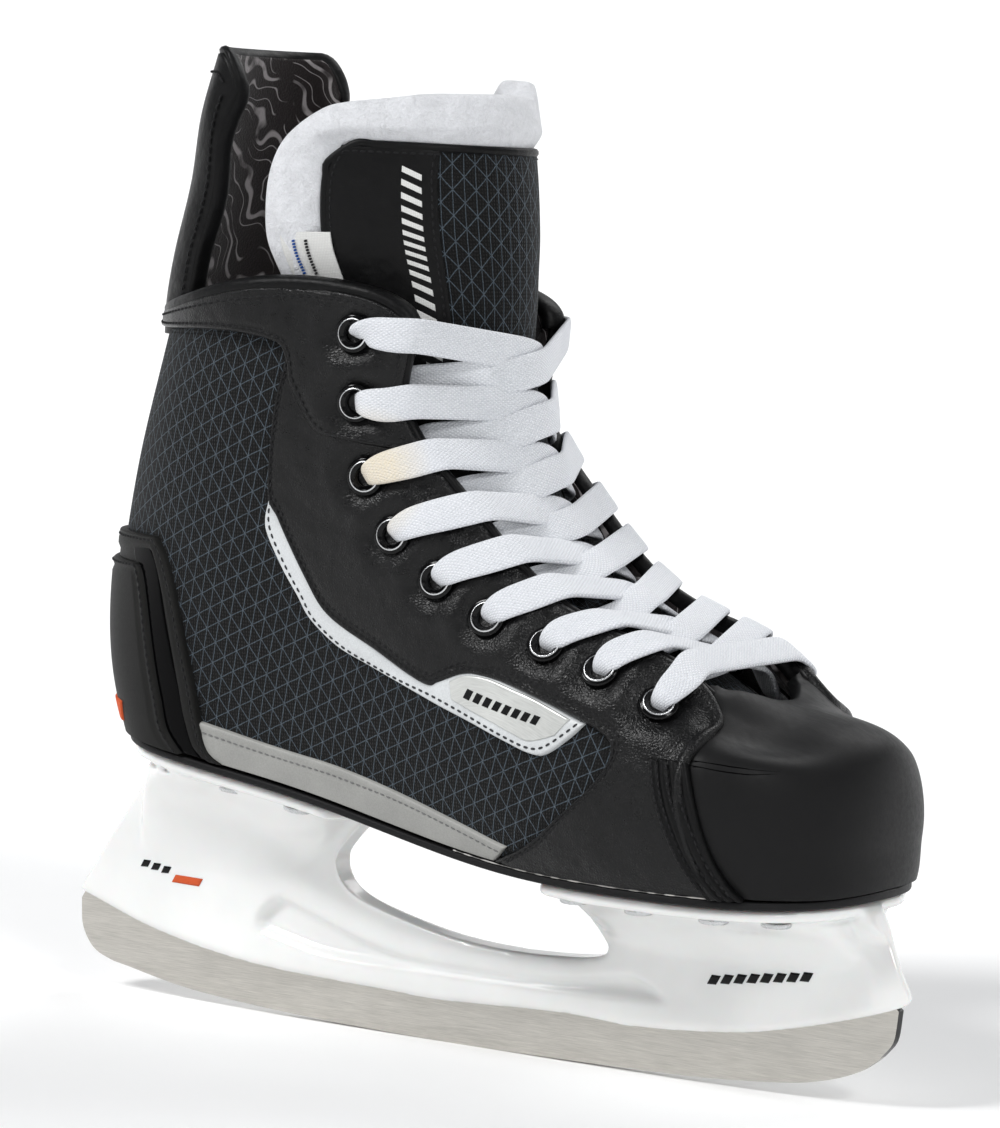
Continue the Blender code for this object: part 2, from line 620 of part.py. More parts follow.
def tongue(station, across, out=0.0):
    """Point on the tongue's front face: station 0 at the toe end, across from -1 to 1."""
    def bare(s, t):
        mid_x, mid_z, edge_x, half, edge_z = catmull(TONGUE_TABLE, [s])[0]
        turn = math.pi / 2 * t
        drop = 1 - math.cos(turn)
        x = mid_x + (edge_x - mid_x) * drop
        return np.array((x, half * math.sin(turn), mid_z + (edge_z - mid_z) * drop))
    here = bare(station, across)
    step = 0.01
    up = bare(station + step, across) - bare(station - step, across)
    side = bare(station, across + step) - bare(station, across - step)
    normal = np.cross(side, up)
    normal /= np.linalg.norm(normal)
    x, y, z = here + out * normal
    return np.array((x, y + toe_bend(x), z))


def tongue_sheet(name, low, high, reach, layer, finish, rows):
    def place(s, t):
        return tongue(low + (high - low) * t, reach * (2 * s - 1), layer[1])
    mesh = grid_mesh(name, 12, rows, place, (1, 0, 0.5))
    return thick_sheet(name, mesh, layer[1] - layer[0], finish)


def hinge_empty(name, x, z):
    empty = bpy.data.objects.new(name, None)
    PARTS.objects.link(empty)
    empty.location = (x * MM, 0, z * MM)
    return empty


def hang_on(empty, items):
    bpy.context.view_layer.update()
    for item in items:
        item.parent = empty
        item.matrix_parent_inverse = empty.matrix_world.inverted()


def make_tongue():
    below, above = TONGUE_SPLIT - TONGUE_SPLIT_GAP, TONGUE_SPLIT + TONGUE_SPLIT_GAP
    top = len(TONGUE) - 1
    tongue_sheet("tongue_felt_lower", 0, below, 1, TONGUE_FELT, "white_felt", 7)
    tongue_sheet("tongue_facing_lower", 0.05, below, FACING_REACH, TONGUE_FACING,
                 "black_leather", 8)
    moving = [
        tongue_sheet("tongue_felt_upper", above, top, 1, TONGUE_FELT, "white_felt", 6),
        tongue_sheet("tongue_facing_upper", above, top - 1, FACING_REACH, TONGUE_FACING,
                     "black_leather", 5),
    ]

    def label_place(s, t):
        station = LABEL_LOW + (LABEL_HIGH - LABEL_LOW) * t
        return tongue(station, LABEL_EDGE + LABEL_WIDTH * s, -0.5)
    label = grid_mesh("tongue_label", 1, 4, label_place, (0, -1, 0))
    moving.append(thick_sheet("tongue_label", label, 0.4, "white_label"))
    hang_on(hinge_empty("tongue_hinge", *TONGUE_HINGE), moving)


def make_tendon_guard():
    table = np.array(TENDON, float)
    corner_drop, corner_start = 10, 0.7

    def place_at(inset):
        def place(s, t):
            across = 2 * s - 1
            _, rear, side, half = catmull(table, [t * (len(table) - 1)])[0]
            past = max(0, abs(across) - corner_start) / (1 - corner_start)
            rounded = corner_drop * past ** 2
            z = TENDON[0][0] + (TENDON[-1][0] - TENDON[0][0] - rounded) * t
            turn = math.pi / 2 * across
            x = side + (rear + inset - side) * math.cos(turn)
            return np.array((x, (half - inset) * math.sin(turn), z))
        return place
    shell = grid_mesh("tendon_guard", 12, 8, place_at(0), (-1, 0, 0))
    lining = grid_mesh("tendon_guard_lining", 12, 8, place_at(TENDON_LINING_INSET), (-1, 0, 0))
    moving = [thick_sheet("tendon_guard", shell, TENDON_SHELL, "black_plastic"),
              thick_sheet("tendon_guard_lining", lining, TENDON_LINING, "dark_lining")]
    hang_on(hinge_empty("tendon_guard_hinge", *TENDON_HINGE), moving)


# ---------------------------------------------------------------- lace

def eyelet_point(number, side, out):
    station, height = EYELETS[number - 1]
    return boot(station if side < 0 else TURN - station, height, out)


def throat_point(place, side, out, beyond=0):
    return boot(place if side < 0 else TURN - place, RAIL_TOP + beyond, out)


def over_edge(number, place, side):
    """From above an eyelet, over the panel and past the throat's edge."""
    rise = eyelet_point(number, side, 4.4)
    edge = throat_point(place, side, 3.4)
    lift = edge - throat_point(place, side, 2.4)
    return [rise * 0.5 + edge * 0.5 + lift, edge, throat_point(place, side, 2.8, 0.3)]


def tongue_station(number):
    """The tongue's station level with the lace at that eyelet row."""
    middle = boot(LACE_AT_THROAT[number - 1], RAIL_TOP)
    stations = np.linspace(0, 5, 101)
    line = catmull(TONGUE_TABLE, stations)[:, :2]
    return float(stations[np.argmin(np.hypot(line[:, 0] - middle[0], line[:, 1] - middle[2]))])


# A strand's way in under the throat's far edge: how far past the edge, and its depth
UNDER_EDGE = ((0.35, -6.2), (0, -7.3))
THROUGH_EYELET = (-8.6, 3.4)
# Height of a strand over the tongue at each share of the way across, under and on top
CROSSING = (((-0.45, 3.6), (-0.15, 3.3), (0.15, 3.3), (0.45, 3.7)),
            ((-0.45, 5.4), (-0.15, 7), (0.15, 7), (0.45, 4.5)))


def strand(number, side):
    """From inside one eyelet, out, over the throat's edge and the tongue, under the other edge."""
    on_top = side < 0
    start, end = tongue_station(number), tongue_station(number + 1)
    near_edge = LACE_AT_THROAT[number - 1]
    far_edge = LACE_AT_THROAT[number] + 0.22
    points = [eyelet_point(number, side, out) for out in THROUGH_EYELET]
    points += over_edge(number, near_edge, side)
    for across, out in CROSSING[on_top]:
        share = (across + 1) / 2
        points.append(tongue(start + (end - start) * share, -side * across, out))
    points += [throat_point(far_edge, -side, out, beyond) for beyond, out in UNDER_EDGE]
    below = eyelet_point(number + 1, -side, -8.9)
    return points + [points[-1] * 0.3 + below * 0.7]


def lace_tail(side):
    """The spare end, tucked inside the boot and folded along the footbed."""
    def inside(station, height):
        return boot(station if side < 0 else TURN - station, height, -9.4)

    def on_footbed(x, y):
        return np.array((x, side * y + toe_bend(x), sole_z(x) + FOOTBED_TOP + LACE_RADIUS + 1.0))
    points = [on_footbed(x, 5) for x in (-44, -20, 6, 32, 56)]
    points += [on_footbed(70, 8), on_footbed(72, 14), on_footbed(64, 19)]
    points += [on_footbed(x, 21) for x in (40, 14, -12, -36, -54)]
    points += [inside(7.8, 0.95), inside(7.7, 1.5), inside(7.5, 2.2), inside(7.35, 2.9),
               inside(7.25, 3.4)]
    return points


def lace_route():
    outer_first = []
    side = -1
    for number in range(1, len(EYELETS)):
        outer_first += strand(number, side)
        side = -side
    second = []
    side = 1
    for number in range(1, len(EYELETS)):
        second += strand(number, side)
        side = -side
    last = len(EYELETS)
    near_end = [eyelet_point(last, -1, out) for out in THROUGH_EYELET]
    far_end = [eyelet_point(last, 1, out) for out in THROUGH_EYELET[::-1]]
    over = tongue_station(last)
    bar = over_edge(last, LACE_AT_THROAT[-1], -1)
    bar += [tongue(over, across, out) for across, out in ((-0.3, 6), (0, 6.4), (0.3, 6))]
    bar += over_edge(last, LACE_AT_THROAT[-1], 1)[::-1]
    return (lace_tail(-1) + outer_first + near_end + bar + far_end + second[::-1]
            + lace_tail(1)[::-1])


def make_lace():
    points = np.array(lace_route())
    curve = bpy.data.curves.new("lace", "CURVE")
    curve.dimensions = "3D"
    curve.bevel_depth = LACE_RADIUS * MM
    curve.bevel_resolution = 2
    curve.use_fill_caps = True
    path = curve.splines.new("POLY")
    path.points.add(len(points) - 1)
    for knot, place in zip(path.points, points):
        knot.co = (*(place * MM), 1)
    add_part("lace", curve, "white_lace")


def build():
    fastener_holes = make_fastener_holes()
    side_profile("runner", RUNNER_BOTTOM + RUNNER_TOP, RUNNER_THICKNESS, "steel")
    make_blade_holder(fastener_holes)
    for plate in (
        sole_plate("outsole", -117, 132.5, 0.3, OUTSOLE_TOP, OUTSOLE_THICKNESS, "black_plastic"),
        sole_plate("insole_board", -109, 120.5, 8.2, BOARD_TOP, BOARD_THICKNESS, "fibre_board"),
    ):
        boolean(plate, fastener_holes)
    sole_plate("footbed", -107, 121, 8.6, FOOTBED_TOP, FOOTBED_THICKNESS, "foam")
    make_rivets()
    make_bolts()
    eyelet_holes = make_eyelet_holes()
    make_upper(eyelet_holes)
    make_eyelets()
    make_tongue()
    make_tendon_guard()
    make_lace()


build()
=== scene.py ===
"""Looks of the ice hockey skate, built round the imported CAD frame.

Points are in millimetres in the skate's frame: +X to the toe, -Y to the outer side, +Z up.
A place on the boot is (station, height): station 0 is the toe's tip, 11 the heel's back, and
height runs from 0 at the sole to 4 at the throat or the collar.
"""
import math
from contextlib import contextmanager

import bmesh
import bpy
import numpy as np
from mathutils import Matrix, Vector
from mathutils.bvhtree import BVHTree


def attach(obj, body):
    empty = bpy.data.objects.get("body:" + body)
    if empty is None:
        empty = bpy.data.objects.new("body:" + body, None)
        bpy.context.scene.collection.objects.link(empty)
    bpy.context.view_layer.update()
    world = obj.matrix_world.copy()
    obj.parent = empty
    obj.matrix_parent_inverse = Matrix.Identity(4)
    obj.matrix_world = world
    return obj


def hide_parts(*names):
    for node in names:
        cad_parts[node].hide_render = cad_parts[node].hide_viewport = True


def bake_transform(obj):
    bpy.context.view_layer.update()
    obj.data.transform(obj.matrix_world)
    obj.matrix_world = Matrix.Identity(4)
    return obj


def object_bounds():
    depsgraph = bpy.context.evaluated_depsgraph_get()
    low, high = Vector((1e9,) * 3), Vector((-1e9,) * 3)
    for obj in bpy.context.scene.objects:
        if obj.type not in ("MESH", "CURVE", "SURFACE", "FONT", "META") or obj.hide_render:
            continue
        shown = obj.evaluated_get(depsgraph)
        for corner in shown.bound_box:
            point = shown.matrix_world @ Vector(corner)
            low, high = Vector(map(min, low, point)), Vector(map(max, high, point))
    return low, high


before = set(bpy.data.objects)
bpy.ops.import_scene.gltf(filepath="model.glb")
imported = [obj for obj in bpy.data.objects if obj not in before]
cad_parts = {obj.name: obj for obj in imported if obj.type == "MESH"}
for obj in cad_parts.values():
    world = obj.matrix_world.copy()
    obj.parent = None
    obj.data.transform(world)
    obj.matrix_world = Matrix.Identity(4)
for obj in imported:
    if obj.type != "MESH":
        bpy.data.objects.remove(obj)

cad_low, cad_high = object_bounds()

MM = 0.001
SIDES = (("outer", -1), ("inner", 1))
TOE, HEEL, RAIL_TOP, TURN = 0, 11, 4, 22

# Boot rails, as in the CAD: (x, half width, z) from the toe round the outer side to the heel
RAILS = (
    ((133.8, 0, 61.8), (128.2, 25, 61.2), (109, 42.3, 60.9), (75, 46, 61.1), (37, 41.5, 62.4),
     (0, 35.5, 67.3), (-34, 32.5, 73.6), (-62, 32, 78), (-84, 31, 81), (-102, 26, 83.3),
     (-114, 14.5, 84.8), (-118, 0, 85.2)),
    ((135.4, 0, 77), (129.8, 27.5, 76.5), (108, 47.3, 76.5), (75, 50.5, 76.5), (37, 46.5, 79),
     (0, 40.5, 87), (-32, 37.5, 95), (-57, 37, 101), (-78, 36.5, 104), (-99, 31.5, 106),
     (-117, 19, 107), (-124, 0, 108)),
    ((134.8, 0, 92), (128.8, 25, 91.5), (108, 44.5, 97), (76, 48.5, 98), (38, 46.5, 104),
     (0, 42.5, 116), (-28, 41.5, 130), (-48, 42, 141), (-66, 42, 143), (-90, 37, 143),
     (-114, 22, 143), (-124, 0, 143)),
    ((128, 0, 103.5), (123.5, 18, 101.5), (108, 32, 101), (76, 41, 114.5), (41, 41.5, 124),
     (3, 42, 145), (-20, 43.5, 167), (-30, 45, 188), (-52, 46, 187), (-80, 41.5, 183),
     (-104, 25, 182), (-115, 0, 182)),
    ((107, 0, 108.5), (105, 12, 108), (95.5, 25, 111.5), (78, 29.5, 124), (46, 31.5, 136.5),
     (16, 34.5, 163), (-4, 38.5, 190), (-3, 41, 214), (-38, 46, 221.5), (-70, 44.5, 217),
     (-95, 27, 212), (-106, 0, 212)),
)
TOE_BEND = 5.0
OUTSOLE = (-3.0, -0.7)
FLANGE_TOP, FLANGE_THICKNESS, FLANGE_INSET = -3.4, 3.6, 1.2

# Outlines of the upper's pieces
VAMP_FRONT = ((8.9, 4), (8.2, 4), (7.6, 4), (7.1, 4), (6.8, 4), (6.5, 4), (6.1, 4), (5.7, 4),
              (5.2, 4), (4.8, 4), (4.65, 4), (4.45, 4), (4.25, 4), (3.95, 4), (3.5, 4),
              (2.95, 4), (2.4, 4), (2.24, 3.6), (2.32, 2.9), (2.33, 2.3), (2.34, 1.7),
              (2.22, 0.85), (2.08, 0.03))
VAMP_BACK = ((9.0, 3.74), (8.42, 3.66), (7.83, 3.42), (7.62, 2.95), (7.24, 2.4), (6.9, 2.27),
             (6.31, 2.1), (5.87, 1.97), (5.24, 1.98), (4.74, 1.95), (4.6, 2.04), (4.42, 2.24),
             (4.29, 2.33), (4.06, 2.4), (3.76, 2.39), (3.35, 2.3), (3.12, 2.15), (3.08, 1.95),
             (3.12, 1.75), (3.25, 1.45), (3.5, 1.02), (3.75, 0.55), (4.1, 0.03))
PATCH_TOP = ((11, 4), (10, 4), (9.2, 4), (8.5, 4), (7.95, 4), (7.6, 4), (7.3, 4), (7.0, 4),
             (6.7, 4), (6.35, 4), (5.95, 4), (5.55, 4))
PATCH_BASE = ((11, 3.84), (10.2, 3.83), (9.36, 3.76), (8.51, 3.64), (7.95, 3.5), (7.75, 3.35),
              (7.51, 3.1), (7.14, 2.93), (6.8, 2.89), (6.5, 3.0), (6.04, 3.36), (5.6, 3.8))
STRIPE_TOP = ((7.16, 2.42), (6.95, 2.33), (6.63, 2.26), (6.31, 2.16), (6.0, 2.07), (5.61, 2.02),
              (5.24, 2.03), (4.93, 2.0), (4.7, 2.02), (4.53, 2.17), (4.42, 2.29), (4.29, 2.38),
              (4.06, 2.44), (3.76, 2.43), (3.47, 2.34), (3.34, 2.3))
STRIPE_BASE = ((7.19, 2.36), (7.18, 2.24), (7.07, 2.16), (6.69, 2.03), (6.39, 1.94),
               (6.16, 1.85), (5.75, 1.79), (5.34, 1.81), (4.98, 1.82), (4.62, 1.81),
               (4.29, 1.8), (3.98, 1.76), (3.75, 1.73), (3.62, 1.79), (3.45, 2.05),
               (3.34, 2.28))
PLATE_TOP = ((4.5, 2.12), (4.38, 2.26), (4.2, 2.36), (4.0, 2.38), (3.76, 2.37), (3.46, 2.28))
PLATE_BASE = ((4.47, 1.95), (4.29, 1.93), (4.1, 1.91), (3.92, 1.88), (3.76, 1.87), (3.56, 2.03))
FOXING_TOP = ((7.8, 0.55), (7.3, 0.53), (6.8, 0.52), (6.3, 0.54), (5.7, 0.59), (5.0, 0.57),
              (4.4, 0.5), (3.97, 0.36))
FOXING_BASE = ((7.6, 0.02), (7.2, 0.02), (6.74, 0.02), (6.27, 0.02), (5.8, 0.02), (5.3, 0.02),
               (4.67, 0.02), (4.1, 0.02))
STRIP_LEFT = ((2.73, 2.0), (2.63, 1.51), (2.48, 0.99), (2.3, 0.27), (2.23, 0.02))
STRIP_RIGHT = ((2.37, 2.0), (2.26, 1.56), (2.14, 1.02), (1.98, 0.28), (1.89, 0.02))
CAP_EDGE = ((2.05, 0), (2.12, 0.3), (2.3, 1.0), (2.42, 1.5), (2.5, 2.0), (2.5, 2.3),
            (2.5, 2.9), (2.5, 3.4), (2.4, 4), (1.9, 4.36))
CAP_TOP = 4.36
# Lines of the toe cap's creases, drawn as dark glossy beads of painted shade
CREASES = (((2.36, 2.02), (2.1, 2.0), (1.96, 2.0), (1.72, 2.05), (1.4, 2.2)),
           ((2.34, 1.94), (2.1, 1.9), (1.94, 1.9), (1.8, 1.93), (1.64, 2.02), (1.5, 2.1)))
GUARD_EDGE = ((7.2, 0), (7.5, 0.16), (7.7, 0.56), (7.91, 0.97), (8.31, 1.43), (8.77, 1.87),
              (9.1, 2.08))
GLOSS_FRONT = ((9.12, 1.98), (8.92, 1.84), (8.66, 1.52), (8.36, 1.18), (8.1, 0.86),
               (7.92, 0.5), (7.78, 0.22), (7.6, 0.02))
GLOSS_BACK = ((9.5, 1.96), (9.3, 1.72), (9.02, 1.4), (8.82, 1.1), (8.64, 0.8), (8.45, 0.45),
              (8.28, 0.2), (8.1, 0.02))
HEEL_STRAP_EDGE = ((7.91, 0), (8.25, 0.31), (8.45, 0.74), (8.8, 1.28), (9.14, 1.74),
                   (9.35, 1.87))
EYELETS = ((7.21, 3.64), (6.45, 3.39), (5.76, 3.26), (5.24, 3.08), (4.77, 3.04), (4.34, 3.06),
           (3.86, 3.18), (3.34, 3.12), (2.8, 2.96))
LACE_AT_THROAT = (6.7, 5.95, 5.4, 4.9, 4.5, 4.1, 3.6, 3.15, 2.65)
FOOTBED_TOP = 8.2

TAG_EDGE = ((9.5, 0.2), (9.42, 0.55))

# Layers over the boot and over the tongue: the outside at the edges and inside them, the radii
# of the edges (first and second outline, start, end), and the spacing of the mesh
LAYERS = {
    "quarter_cloth": (-2.4, -1.0, (0, 0, 0, 0.6), None),
    "vamp_leather": (-1.0, 1.05, (2.2, 1.0, 0, 0), 1.4),
    "collar_patch": (0.5, 1.9, (1.2, 1.1, 0, 0.8), 1.4),
    "stripe": (-1.1, 0.35, (3.4, 0.9, 0.4, 0.9), 1.0),
    "stripe_plate": (0.2, 0.8, (0.5, 0.5, 0.5, 0.5), 0.9),
    "plate_dash": (0.5, 0.98, (0.1, 0.1, 0.1, 0.1), 0.8),
    "foxing": (-1.1, 0.25, (0.8, 0, 0, 0.8), 1.4),
    "toe_cap_shell": (-2.4, 0.8, (0, 1.6, 0, 0), 1.0),
    "toe_seam": (0.2, 1.9, (0.9, 0.9, 0.8, 0), 0.6),
    "heel_counter": (-1.1, 0.3, (0, 1.0, 1.0, 1.0), 1.4),
    "heel_backstay": (0.2, 2.3, (0, 1.6, 1.6, 1.6), 1.4),
    "heel_gloss": (0.1, 0.75, (0.6, 0.6, 0.6, 0.6), 1.4),
    "heel_tag_cloth": (1.9, 3.0, (0.5, 0.5, 0.5, 0.5), 1.0),
    "tongue_felt": (-8.0, -1.6, (2.5, 5.2, 5, 5), 1.6),
    "tongue_strip": (-1.9, 0.5, (0.8, 1.4, 1.0, 1.0), 1.6),
    "tongue_centre": (-1.9, -0.1, (0.5, 1.0, 0.5, 0.5), 1.6),
    "tongue_mark": (0.3, 0.75, (0.1, 0.1, 0.1, 0.1), 0.8),
}
# Finer steps near the edges of a layer, how far its underside lies below its edge, and the
# share of a rounded edge over which its relief comes in
NEAR_EDGE = (0, 0.12, 0.35, 0.7, 1.1, 1.6, 2.3)
UNDERLAP, SWELL_FROM = 0.3, 0.9
LINING_OUT, LINING_IN, PLATE_DASHES = -2.6, -5.6, 8

# Runner and holder in side view
RUNNER_BOTTOM = ((-142, 27.2), (-141.3, 18.5), (-137, 12.1), (-130.5, 9.2), (-123.9, 7.9),
                 (-100.5, 3.9), (-70, 1.6), (-40, 0.5), (-5, 0), (5, 0), (40, 0.5), (78, 1.5),
                 (106, 3.7), (119, 6), (129, 9.4), (135, 13.3), (138.7, 16.9), (141, 20.6),
                 (142, 28.6))
RUNNER_TOP = ((136, 34), (88, 25.5), (20, 21), (-28, 20.5), (-92, 26), (-136, 37))
HOLDER_BASE = ((-140.5, 30), (-110.6, 20.8), (-74.5, 15), (-28, 13.2), (-6, 12.7), (35, 14.4),
               (59, 13.6), (90, 16), (110, 19.8), (130, 25.3), (142.6, 29.7), (145, 32.4))
HOLDER_FRONT = ((143.6, 35), (138.1, 46), (134.6, 53))
HOLDER_TOE_TOP, HOLDER_HEEL_TOP = ((133, 56), (47, 56)), ((-33, 70), (-107, 76))
WINDOW = ((41.5, 53), (41, 47.5), (45.6, 41), (49.6, 36.2), (49.8, 34.4), (47, 32.7),
          (37.5, 31.2), (16.5, 30.4), (-5.5, 32), (-28.2, 36.7), (-40, 41), (-44.6, 46),
          (-45.2, 52), (-37.2, 61.5), (-33, 66))
HOLDER_BACK = ((-115.3, 69), (-132, 44.2), (-139.8, 32))
HEEL_PILLAR = ((-122, -62, 34, 34, 4.5), (-121, -55, 46, 46, 6.5), (-118, -47, 57, 56, 11),
               (-114, -42, 66, 63, 18), (-110, -36, 75, 69, 27))
TOE_PILLAR = ((58, 132, 30, 30, 4.5), (49.5, 133, 38, 38, 7), (43, 131, 46, 46, 15),
              (42, 128, 51, 51, 24), (44, 125, 55.5, 56.5, 33))
HEEL_FLANGE, TOE_FLANGE = (-117, -29), (45, 131.8)
HEEL_RIVETS, TOE_RIVETS = (-91, -69.3, -45.3), (55, 76.5, 99, 115)
CREST = ((-75, 43), (-67, 41.3), (-54.5, 38), (-39.2, 32.7), (-25.9, 28.8), (-7.4, 26.5),
         (10.8, 26.4), (34.7, 27.9), (48.9, 31.3), (60, 38))
SCOOP_TOP = ((-73.5, 26.5), (-72.5, 30.3), (-68.8, 34.7), (-64.1, 37.2), (-54.4, 34.6),
             (-35.3, 28.6), (-16.5, 24.9), (10.9, 24.3), (34.8, 25.6), (56.1, 29), (62.3, 28),
             (67.4, 25.7), (71.6, 23.1))
SCOOP_BASE = ((-73.5, 25.6), (-58.7, 22.4), (-44.4, 20.4), (-7.1, 20.2), (35, 20.6),
              (66.6, 21.8), (71.6, 22.9))
HOLDER_HALF, PILLAR_POWER, VOXEL = 5.5, 0.42, 0.0008
# Runner's half thickness and edge rounding, and the x beyond which its narrow faces are painted
# black as painted shade on the front end
RUNNER_HALF, RUNNER_EDGE, RUNNER_SHADE_FROM = 1.5, 0.35, 137
# Rows of printed dashes: the first one's corner, its slant, the step to the next, width, count
HOLDER_DASHES = (((-116.6, 40.3), (1.2, 2.2), (3.9, -0.55), 2.7, 3),
                 ((83.4, 29.5), (1.5, 2.8), (4.2, 0.65), 2.9, 8))
HOLDER_PATCH = ((-104.6, 36.8), (-94.4, 36.6)), ((-103.2, 39.2), (-93, 39.0))

# Tongue, from its toe end up: middle (x, z) and side edge (x, half width, z)
TONGUE = (
    ((96, 106.5), (87, 19, 98)), ((62, 128), (52, 26, 108)), ((28, 153), (9, 28.5, 128)),
    ((13, 194), (-30, 31, 180)), ((12, 221), (-48, 36, 221)), ((11, 240), (-52.5, 41, 240)),
    ((8, 262), (-47, 41, 263)), ((2, 279), (-26, 33, 277)),
)
TENDON = ((205, -107, -88, 30), (215.5, -107, -86, 30), (230, -103.5, -83, 31),
          (250, -98.5, -77.5, 31), (270, -95, -76, 31), (288, -91, -71.5, 29))


# ---------------------------------------------------------------- curves and the boot surface

def catmull(points, places):
    """Points on the smooth curve through the given points, at places 0 ... len - 1."""
    points, places = np.asarray(points, float), np.atleast_1d(np.asarray(places, float))
    ends = np.vstack([2 * points[0] - points[1], points, 2 * points[-1] - points[-2]])
    k = np.clip(places.astype(int), 0, len(points) - 2)
    t = (places - k)[:, None]
    a, b, c, d = (ends[k + j] for j in range(4))
    return 0.5 * (2 * b + (c - a) * t + (2 * a - 5 * b + 4 * c - d) * t ** 2
                  + (3 * b - a - 3 * c + d) * t ** 3)


def curve(points, count):
    """This many points on the smooth curve through the given points."""
    return catmull(points, np.linspace(0, len(points) - 1, count))


def smooth_curve(points, spacing):
    """The curve through the points, as points a fixed distance apart."""
    return resample(curve(points, 24 * len(points)), spacing)[0]


def lengths_along(points):
    steps = np.linalg.norm(np.diff(points, axis=0), axis=1)
    return np.concatenate([[0], np.cumsum(steps)])


def resample(points, spacing, *others):
    """The line and what goes with it, at even distances along it."""
    along = lengths_along(points)
    count = max(int(round(along[-1] / spacing)), 2) + 1
    places = np.linspace(0, along[-1], count)
    return [np.column_stack([np.interp(places, along, row) for row in np.asarray(values).T])
            for values in (points, *others)]


def unit(vectors):
    return vectors / np.maximum(np.linalg.norm(vectors, axis=-1, keepdims=True), 1e-9)


def ease(values, low, high):
    share = np.clip((np.asarray(values, float) - low) / (high - low), 0, 1)
    return share * share * (3 - 2 * share)


def spline_matrix(count, closed):
    """Second derivatives of a cubic spline through evenly spaced values, as a matrix."""
    left, right = np.eye(count), np.zeros((count, count))
    for i in range(count):
        if closed or 0 < i < count - 1:
            left[i, i], left[i, i - 1], left[i, (i + 1) % count] = 4, 1, 1
            right[i, i], right[i, i - 1], right[i, (i + 1) % count] = -12, 6, 6
    return np.linalg.solve(left, right)


def spline_weights(bends, places, closed):
    count, k = len(bends), np.floor(places).astype(int)
    if not closed:
        k = np.clip(k, 0, count - 2)
    t = (places - k)[:, None]
    here, there = k % count, (k + 1) % count
    weights = ((1 - t) ** 3 - (1 - t)) / 6 * bends[here] + (t ** 3 - t) / 6 * bends[there]
    rows = np.arange(len(places))
    weights[rows, here] += 1 - t[:, 0]
    weights[rows, there] += t[:, 0]
    return weights


def ring(rail):
    outer = [(x, -half, z) for x, half, z in rail]
    return outer + [(x, half, z) for x, half, z in rail[-2:0:-1]]


NET = np.array([ring(rail) for rail in RAILS], float)
ROUND_BENDS, UP_BENDS = spline_matrix(TURN, True), spline_matrix(RAIL_TOP + 1, False)


def toe_bend(x):
    """The last curves inwards, towards +Y, ahead of the arch."""
    return TOE_BEND * np.maximum(0.0, (x + 20) / 160) ** 2


def straight_boot(station, height):
    across = spline_weights(ROUND_BENDS, station, True)
    up = spline_weights(UP_BENDS, height, False)
    return np.einsum("nj,ni,jik->nk", up, across, NET)


def flat_places(station, height):
    station, height = np.broadcast_arrays(np.asarray(station, float), np.asarray(height, float))
    return station.shape, station.ravel(), height.ravel()


def boot_normal(station, height):
    shape, station, height = flat_places(station, height)
    step = 0.002
    low, high = np.clip(height - step, 0, 4), np.clip(height + step, 0, 4)
    low, high = np.minimum(low, 4 - step), np.maximum(high, step)
    round_boot = straight_boot(station + step, low) - straight_boot(station - step, low)
    upwards = straight_boot(station, high) - straight_boot(station, low)
    return unit(np.cross(upwards, round_boot)).reshape(*shape, 3)


def boot(station, height, out=0.0):
    """Points on the boot, moved out along its normal."""
    shape, flat_station, flat_height = flat_places(station, height)
    points = straight_boot(flat_station, flat_height).reshape(*shape, 3)
    points = points + np.asarray(out, float)[..., None] * boot_normal(station, height)
    points[..., 1] += toe_bend(points[..., 0])
    return points


def around(station, side):
    """A station counted from the toe on the outer or inner side, as a place round the boot."""
    return station if side < 0 else TURN - station


SOLE_LINE = straight_boot(np.linspace(HEEL, 0, 441), np.zeros(441))


def sole_half(x):
    return np.interp(x, SOLE_LINE[:, 0], -SOLE_LINE[:, 1])


def sole_z(x):
    return np.interp(x, SOLE_LINE[:, 0], SOLE_LINE[:, 2])


TONGUE_TABLE = np.array([(*middle, *edge) for middle, edge in TONGUE], float)


def bare_tongue(station, across):
    table = catmull(TONGUE_TABLE, station)
    mid_x, mid_z, edge_x, half, edge_z = table.T
    turn = math.pi / 2 * across
    drop = 1 - np.cos(turn)
    x = mid_x + (edge_x - mid_x) * drop
    return np.column_stack([x, half * np.sin(turn), mid_z + (edge_z - mid_z) * drop])


def tongue_frame(station, across):
    """The tongue's point, its normal and its direction up the leg."""
    shape, station, across = flat_places(station, across)
    step = 0.01
    up = bare_tongue(station + step, across) - bare_tongue(station - step, across)
    side = bare_tongue(station, across + step) - bare_tongue(station, across - step)
    point = bare_tongue(station, across)
    point[:, 1] += toe_bend(point[:, 0])
    return [values.reshape(*shape, 3) for values in (point, unit(np.cross(side, up)), unit(up))]


def tongue(station, across, out=0.0):
    point, normal, _ = tongue_frame(station, across)
    return point + np.asarray(out, float)[..., None] * normal


# ---------------------------------------------------------------- making pieces

SKATE = bpy.data.collections.new("skate_looks")
bpy.context.scene.collection.children.link(SKATE)


def add_piece(name, shape, finish, body="boot", replaces=()):
    """A visible piece, from a mesh or from a Sheet or Stitching that makes one."""
    mesh = shape if isinstance(shape, bpy.types.Mesh) else shape.mesh()
    mesh.name = name
    item = bpy.data.objects.new(name, mesh)
    SKATE.objects.link(item)
    for one in finish if isinstance(finish, tuple) else (finish,):
        mesh.materials.append(one)
    if body:
        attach(item, body)
    if replaces:
        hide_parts(*replaces)
    return item


